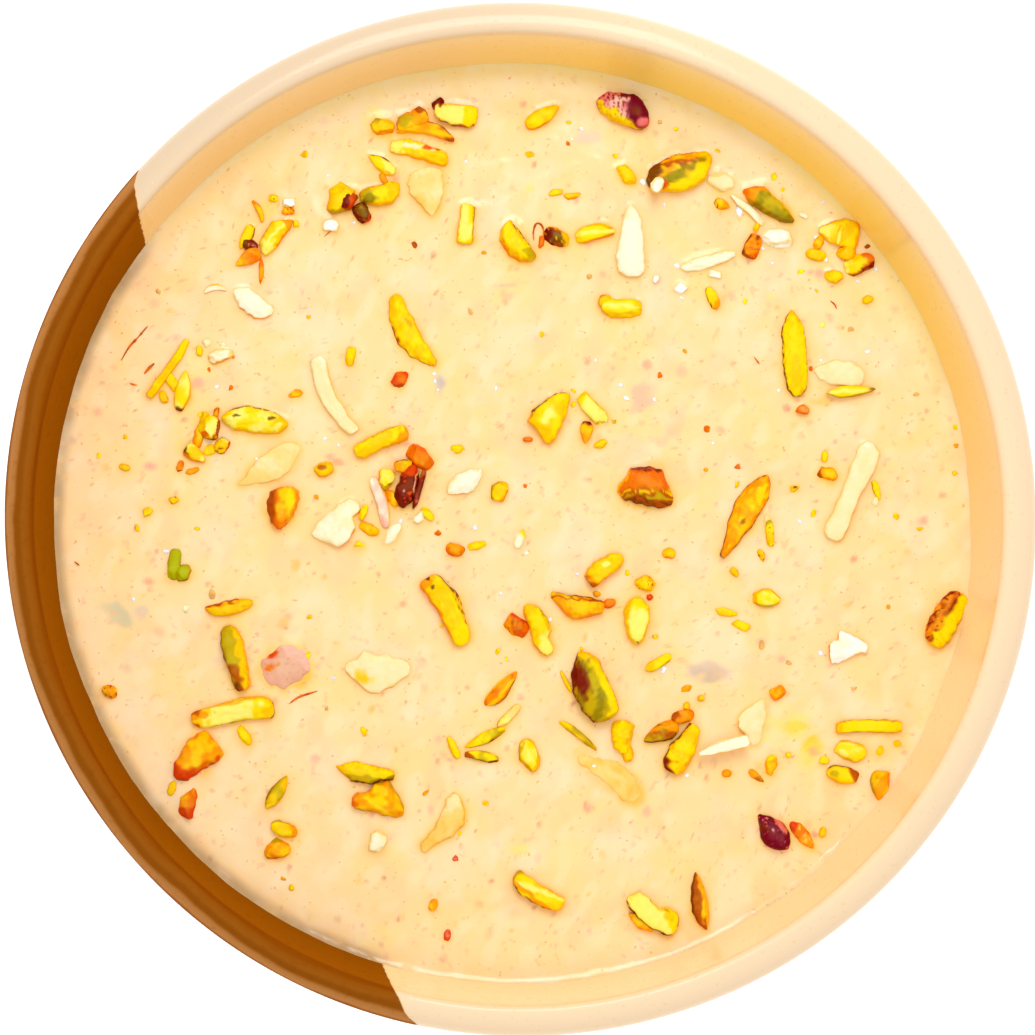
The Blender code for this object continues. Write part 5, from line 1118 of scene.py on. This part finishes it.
def add(tree, kind, **settings):
    """A new shader node. A setting in small letters is its property; one with a capital, or S and a number,
    is its socket, given a value or another node's output."""
    node = tree.nodes.new("ShaderNode" + kind)
    for name, value in settings.items():
        if name[0].islower():
            setattr(node, name, value)
    for name, value in settings.items():
        if name[0].islower():
            continue
        socket = node.inputs[int(name[1:])] if name[1:].isdigit() else node.inputs[name.replace("_", " ")]
        if isinstance(value, bpy.types.NodeSocket):
            tree.links.new(value, socket)
        else:
            socket.default_value = value
    return node


def paint_mix(tree, share, first, second, kind="MIX"):
    """A colour mixed of two, each a paint or a socket, by a share."""
    sockets = [value if isinstance(value, bpy.types.NodeSocket) else (*linear(value), 1) for value in (first, second)]
    return add(tree, "Mix", data_type="RGBA", blend_type=kind, S0=share, S6=sockets[0], S7=sockets[1]).outputs[2]


def calc(tree, operation, first, second=0.0):
    """One step of arithmetic on two numbers or sockets."""
    return add(tree, "Math", operation=operation, S0=first, S1=second).outputs[0]


def step(tree, value, low, high, least=0.0, most=1.0):
    """A smooth step from `least` at `low` to `most` at `high`."""
    return add(tree, "MapRange", interpolation_type="SMOOTHSTEP", Value=value, From_Min=low, From_Max=high,
               To_Min=least, To_Max=most).outputs["Result"]


def noise(tree, place, size, detail=3.0, roughness=0.5):
    """Noise with lumps of about `size` millimetres."""
    return add(tree, "TexNoise", Vector=place, Scale=0.6 / (size * MM), Detail=detail, Roughness=roughness).outputs["Fac"]


def ramp(tree, value, low, high, stops):
    """Colours along a value: each stop is (value, paint)."""
    node = add(tree, "ValToRGB", Fac=step_line(tree, value, low, high))
    elements = node.color_ramp.elements
    elements.remove(elements[1])
    for number, (at, paint) in enumerate(stops):
        element = elements[0] if number == 0 else elements.new(1.0)
        element.position = (at - low) / (high - low)
        element.color = (*linear(paint), 1)
    return node.outputs["Color"]


def step_line(tree, value, low, high):
    """The value's straight share between two limits."""
    return add(tree, "MapRange", Value=value, From_Min=low, From_Max=high).outputs["Result"]


def cut_nut(name, roughness, coat, glow, grain):
    """A wet cut nut: its own paints broken up by noise of 0.5 and 2 mm, a fine grain raised by bump, a thin
    coat of milk and some light let through."""
    material, tree, shader = finish_of(name)
    place = add(tree, "TexCoord").outputs["Object"]
    own = add(tree, "Attribute", attribute_name="shade").outputs["Color"]
    broad, fine = noise(tree, place, 2.0), noise(tree, place, 0.35, 4.0, 0.65)
    darker = paint_mix(tree, step(tree, broad, 0.5, 0.8, 0.0, 0.1), own, paint_mix(tree, 1.0, own, own, "MULTIPLY"))
    grainy = paint_mix(tree, step(tree, fine, 0.52, 0.75, 0.0, grain), darker,
                       paint_mix(tree, 1.0, darker, darker, "MULTIPLY"))
    tree.links.new(grainy, shader.inputs["Base Color"])
    tree.links.new(step(tree, fine, 0.3, 0.7, roughness - 0.08, roughness + 0.12), shader.inputs["Roughness"])
    bump = add(tree, "Bump", Strength=0.5, Distance=0.06 * MM, Height=fine)
    tree.links.new(bump.outputs["Normal"], shader.inputs["Normal"])
    shader.inputs["Specular IOR Level"].default_value = 0.04
    shader.inputs["Coat Weight"].default_value = coat
    shader.inputs["Coat Roughness"].default_value = 0.12
    shader.inputs["Subsurface Weight"].default_value = glow
    shader.inputs["Subsurface Radius"].default_value = (1.0, 0.6, 0.25)
    shader.inputs["Subsurface Scale"].default_value = 0.8 * MM
    return material


def kheer_finish():
    """The kheer: its painted top, mottled paler, richer and pinker by noise of 0.5 to 5 mm, and a wet, slightly
    uneven skin."""
    material, tree, shader = finish_of("kheer")
    place = add(tree, "TexCoord").outputs["Object"]
    own = add(tree, "Attribute", attribute_name="shade").outputs["Color"]
    curds, fine = noise(tree, place, 1.6, 3.0), noise(tree, place, 0.5, 3.0)
    pale, rich = noise(tree, place, 5.0, 3.0), noise(tree, place, 3.4, 4.0, 0.6)
    pink, specks = noise(tree, place, 1.1, 2.0), noise(tree, place, 0.5, 1.0)
    mottled = paint_mix(tree, step(tree, pale, 0.45, 0.7, 0.0, 0.45), own, (255, 226, 190))
    mottled = paint_mix(tree, step(tree, rich, 0.52, 0.72, 0.0, 0.4), mottled, (253, 206, 128))
    mottled = paint_mix(tree, step(tree, pink, 0.64, 0.74, 0.0, 0.5), mottled, (248, 186, 134))
    mottled = paint_mix(tree, step(tree, specks, 0.72, 0.78, 0.0, 0.6), mottled, (232, 146, 76))
    tree.links.new(mottled, shader.inputs["Base Color"])
    tree.links.new(step(tree, fine, 0.3, 0.7, 0.12, 0.2), shader.inputs["Roughness"])
    bump = add(tree, "Bump", Strength=0.15, Distance=0.05 * MM, Height=calc(tree, "ADD", curds, fine))
    tree.links.new(bump.outputs["Normal"], shader.inputs["Normal"])
    shader.inputs["Subsurface Weight"].default_value = 0.25
    shader.inputs["Subsurface Radius"].default_value = (1.0, 0.7, 0.4)
    shader.inputs["Subsurface Scale"].default_value = 1.6 * MM
    return material


def dipped_glaze(name, gloss):
    """Cream glaze, and brown glaze beyond the dip line, each with its own colours from the lip's outside to
    the wall's foot. The brown breaks to copper where it thins on the lip, in lines that wander, and these copper bands
    are partly painted highlight. The cream's inner wall is painted oranger downwards as shade and reflected kheer, more
    so on the north-east and greyer on the north-west; the north lip and the north-west lip carry painted shade, and the
    south inner wall is painted paler as light."""
    material, tree, shader = finish_of(name)
    place = add(tree, "TexCoord").outputs["Object"]
    inward = add(tree, "Attribute", attribute_name="inward").outputs["Fac"]
    beyond = add(tree, "Attribute", attribute_name="beyond_dip").outputs["Fac"]
    broad, fine, pits = noise(tree, place, 9.0), noise(tree, place, 0.7, 4.0, 0.6), noise(tree, place, 0.45, 1.0)
    wander = calc(tree, "ADD", inward, step(tree, broad, 0.2, 0.8, -0.5, 0.5))

    # The copper bands on the lip are where the glaze thins, and partly painted highlight.
    brown = ramp(tree, wander, -12.0, 16.0, (
        (-12.0, (134, 68, 9)), (-5.6, (142, 72, 12)), (-4.6, (144, 76, 14)), (-3.7, (184, 124, 68)), (-2.6, (176, 114, 55)),
        (-1.9, (138, 74, 10)), (-1.2, (136, 74, 12)), (-0.5, (148, 83, 18)), (0.3, (144, 78, 12)), (1.0, (136, 68, 4)),
        (2.4, (142, 74, 6)), (4.5, (158, 89, 6)), (9.0, (152, 84, 4)), (14.0, (144, 78, 2))))
    brown = paint_mix(tree, step(tree, fine, 0.5, 0.8, 0.0, 0.35), brown, (120, 58, 6))
    # Painted shade and painted reflection of the kheer: the cream's inner wall grows oranger downwards.
    cream = ramp(tree, wander, -12.0, 16.0, (
        (-12.0, (250, 228, 190)), (-5.6, (246, 206, 166)), (-4.9, (233, 204, 166)), (-3.5, (238, 209, 172)), (0.4, (240, 212, 172)),
        (1.6, (246, 215, 168)), (3.0, (252, 206, 147)), (8.0, (252, 200, 124)), (14.0, (250, 190, 100))))
    axes = add(tree, "SeparateXYZ", Vector=place).outputs
    south = step(tree, calc(tree, "ADD", calc(tree, "MULTIPLY", axes[0], -0.35), axes[1]), -0.075, 0.03, 1.0, 0.0)
    inside = step(tree, inward, 1.2, 3.5)
    north_east = step(tree, calc(tree, "ADD", calc(tree, "MULTIPLY", axes[0], 0.6), axes[1]), 0.03, 0.085)
    north_west = step(tree, calc(tree, "SUBTRACT", axes[1], calc(tree, "MULTIPLY", axes[0], 0.9)), 0.05, 0.1)
    # Painted shade: the north-east inner wall is oranger.
    north_east_painted_shade = ramp(tree, wander, 0.0, 12.0, (
        (0.0, (255, 224, 172)), (2.0, (255, 224, 168)), (3.5, (255, 224, 148)), (6.0, (255, 217, 120)), (10.0, (255, 210, 92))))
    # Painted shade: the north-west inner wall is darker and duller.
    north_west_painted_shade = ramp(tree, wander, 0.0, 12.0, (
        (0.0, (250, 222, 178)), (3.5, (250, 218, 162)), (6.0, (250, 212, 148)), (10.0, (248, 206, 136))))
    cream = paint_mix(tree, calc(tree, "MULTIPLY", north_east, calc(tree, "MULTIPLY", inside, 0.9)), cream, north_east_painted_shade)
    cream = paint_mix(tree, calc(tree, "MULTIPLY", north_west, calc(tree, "MULTIPLY", inside, 0.85)), cream, north_west_painted_shade)
    # Painted shade on the north lip.
    shaded = calc(tree, "MULTIPLY", step(tree, axes[1], 0.0, 0.07), step(tree, inward, 0.6, 1.8, 1.0, 0.0))
    cream = paint_mix(tree, calc(tree, "MULTIPLY", shaded, 0.7), cream, (236, 208, 170))
    # Painted shade: the north-west lip is greyer and darker.
    north_west_lip_painted_shade = calc(tree, "MULTIPLY", step(tree, inward, -2.5, 1.5, 0.85, 0.5), calc(tree, "SUBTRACT", 1.0, inside))
    cream = paint_mix(tree, calc(tree, "MULTIPLY", north_west, north_west_lip_painted_shade), cream, (216, 191, 160))
    # Painted light: the south inner wall, which faces the window, is paler.
    cream = paint_mix(tree, calc(tree, "MULTIPLY", south, calc(tree, "MULTIPLY", inside, 0.8)), cream, (255, 226, 172))
    cream = paint_mix(tree, step(tree, pits, 0.66, 0.74, 0.0, 0.35), cream, (236, 190, 130))

    edge = calc(tree, "ADD", beyond, step(tree, inward, -5.0, -2.0, 1.2, 0.0))
    edge = calc(tree, "ADD", edge, step(tree, fine, 0.2, 0.8, -0.12, 0.12))
    line = calc(tree, "MULTIPLY", step(tree, edge, -0.5, -0.1), step(tree, edge, 0.0, 0.3, 1.0, 0.0))
    cream = paint_mix(tree, calc(tree, "MULTIPLY", line, 0.5), cream, (238, 196, 138))
    both = paint_mix(tree, step(tree, edge, -0.12, 0.12), cream, brown)
    tree.links.new(both, shader.inputs["Base Color"])
    tree.links.new(step(tree, fine, 0.3, 0.7, 0.10, 0.20), shader.inputs["Roughness"])
    bump = add(tree, "Bump", Strength=0.4, Distance=0.06 * MM, Height=calc(tree, "SUBTRACT", broad, step(tree, pits, 0.66, 0.76)))
    tree.links.new(bump.outputs["Normal"], shader.inputs["Normal"])
    shader.inputs["Specular IOR Level"].default_value = gloss
    return material


def bare_clay():
    """Unglazed clay: tan, sandy, and dull."""
    material, tree, shader = finish_of("bare_clay")
    place = add(tree, "TexCoord").outputs["Object"]
    broad, sand = noise(tree, place, 6.0), noise(tree, place, 0.4, 5.0, 0.7)
    tan = paint_mix(tree, step(tree, broad, 0.3, 0.7), (214, 176, 132), (196, 154, 110))
    tree.links.new(paint_mix(tree, step(tree, sand, 0.55, 0.7, 0.0, 0.6), tan, (150, 108, 74)), shader.inputs["Base Color"])
    tree.links.new(step(tree, sand, 0.3, 0.7, 0.7, 0.9), shader.inputs["Roughness"])
    bump = add(tree, "Bump", Strength=0.6, Distance=0.12 * MM, Height=sand)
    tree.links.new(bump.outputs["Normal"], shader.inputs["Normal"])
    return material


def pale_floor():
    """The floor: a wide matt white sheet with the faintest mottle."""
    material, tree, shader = finish_of("floor")
    place = add(tree, "TexCoord").outputs["Object"]
    white = paint_mix(tree, noise(tree, place, 30.0), (255, 255, 255), (252, 252, 252))
    tree.links.new(white, shader.inputs["Base Color"])
    shader.inputs["Roughness"].default_value = 0.9
    shader.inputs["Emission Color"].default_value = (1, 1, 1, 1)
    shader.inputs["Emission Strength"].default_value = 0.45
    mesh = bpy.data.meshes.new("floor")
    half = 1.5
    mesh.from_pydata([(-half, -half, 0), (half, -half, 0), (half, half, 0), (-half, half, 0)], [], [(0, 1, 2, 3)])
    mesh.materials.append(material)
    floor = bpy.data.objects.new("floor", mesh)
    bpy.context.scene.collection.objects.link(floor)


def soft_light(name, heading, elevation, distance, width, height, power):
    """A square of light that looks at the middle of the kheer from a heading and an elevation in degrees."""
    lamp = bpy.data.lights.new(name, "AREA")
    lamp.shape = "RECTANGLE"
    lamp.size, lamp.size_y = width, height
    lamp.energy = power
    holder = bpy.data.objects.new(name, lamp)
    bpy.context.scene.collection.objects.link(holder)
    away = direction(heading, elevation)
    holder.location = Vector((0, 0, LEVEL * MM)) + away * distance
    holder.rotation_euler = away.to_track_quat("Z", "Y").to_euler()
    return holder


def direction(heading, elevation):
    """The unit vector towards a heading and an elevation, both in degrees."""
    turn, rise = math.radians(heading), math.radians(elevation)
    return Vector((math.cos(rise) * math.cos(turn), math.cos(rise) * math.sin(turn), math.sin(rise)))


def overhead_camera(heading, elevation, distance, lens, aim):
    """A camera that looks down at the rim from a heading and an elevation, with +Y up in its view."""
    camera = bpy.data.cameras.new("camera")
    camera.lens, camera.sensor_width = lens, 36.0
    camera.clip_start, camera.clip_end = 0.01, 20.0
    holder = bpy.data.objects.new("camera", camera)
    bpy.context.scene.collection.objects.link(holder)
    back = direction(heading, elevation)
    right = Vector((0, 1, 0)).cross(back).normalized()
    up = back.cross(right)
    holder.matrix_world = Matrix.Translation(Vector(aim) * MM + back * distance) @ Matrix((right, up, back)).transposed().to_4x4()
    bpy.context.scene.camera = holder


# The nuts come first, because the kheer rises round them and carries their painted shadow and glow.
finishes = {
    "pistachio": cut_nut("pistachio", 0.28, 0.02, 0.12, 0.25),
    "toasted_pistachio": cut_nut("toasted_pistachio", 0.26, 0.03, 0.12, 0.3),
    "pistachio_skin": cut_nut("pistachio_skin", 0.22, 0.03, 0.08, 0.45),
    "almond": cut_nut("almond", 0.28, 0.03, 0.3, 0.12),
}
SLOTS = {
    "pistachio": "pistachio", "toasted": "toasted_pistachio", "skinned": "pistachio_skin", "almond": "almond",
    "raised": "almond", "soaked": "almond",
}
for node, (form, heading, roll, pitch, look) in TOPPINGS.items():
    slot = "pistachio_skin" if node.startswith("soaked_skin") else SLOTS[node.split("_")[0]]
    middle, (length, width, thickness) = node_sizes(node, heading)
    sizes = (length, width, thickness + (0.3 if node.startswith("soaked") else 0.0))
    soft = 2.2 if slot == "almond" else 1.0
    made = placed_sliver(form, middle, heading, sizes, 0.0, roll, pitch, look, seeded(node), 64, 48, 0.2,
                         OUTLINES.get(node, ()), soft)
    piece("cut_" + node, *made, finishes[slot], slot, (node,))

bits(PISTACHIO_BITS, "pistachio_bits", finishes["pistachio"], "pistachio")
bits(SKIN_BITS, "skin_bits", finishes["pistachio_skin"], "pistachio_skin")
bits(ALMOND_BITS, "almond_bits", finishes["almond"], "almond", 2.2)
domes(DOTS, "nut_crumbs", finishes["pistachio"], "pistachio", 0.3, 0.4)
# Painted highlights: white domes that stand for glints beside the nuts.
domes([(x, y, 0.75 * size, "white") for x, y, size in PAINTED_GLINTS], "cream_beads", finishes["almond"], "kheer", 0.35, 0.28)
threads(THREADS, "saffron_threads", finishes["toasted_pistachio"], "toasted_pistachio")
poured_kheer(kheer_finish())
turned_bowl(dipped_glaze("cream_glaze", 0.28), dipped_glaze("brown_glaze", 0.0), bare_clay())

# A white room, a bright window beyond the far rim and a weaker one behind the viewer.
pale_floor()
world = bpy.data.worlds.new("room")
bpy.context.scene.world = world
world.use_nodes = True
world.node_tree.nodes["Background"].inputs["Color"].default_value = (1, 1, 1, 1)
world.node_tree.nodes["Background"].inputs["Strength"].default_value = 0.83
soft_light("window", 86, 52, 0.5, 0.24, 0.22, 1.0)
soft_light("near_window", 262, 58, 0.6, 0.16, 0.12, 0.45).visible_glossy = False
overhead_camera(214.8, 84.0, 0.48, 105.5, (-1.95, -0.73, RIM))
bpy.context.scene.view_settings.view_transform = "Standard"
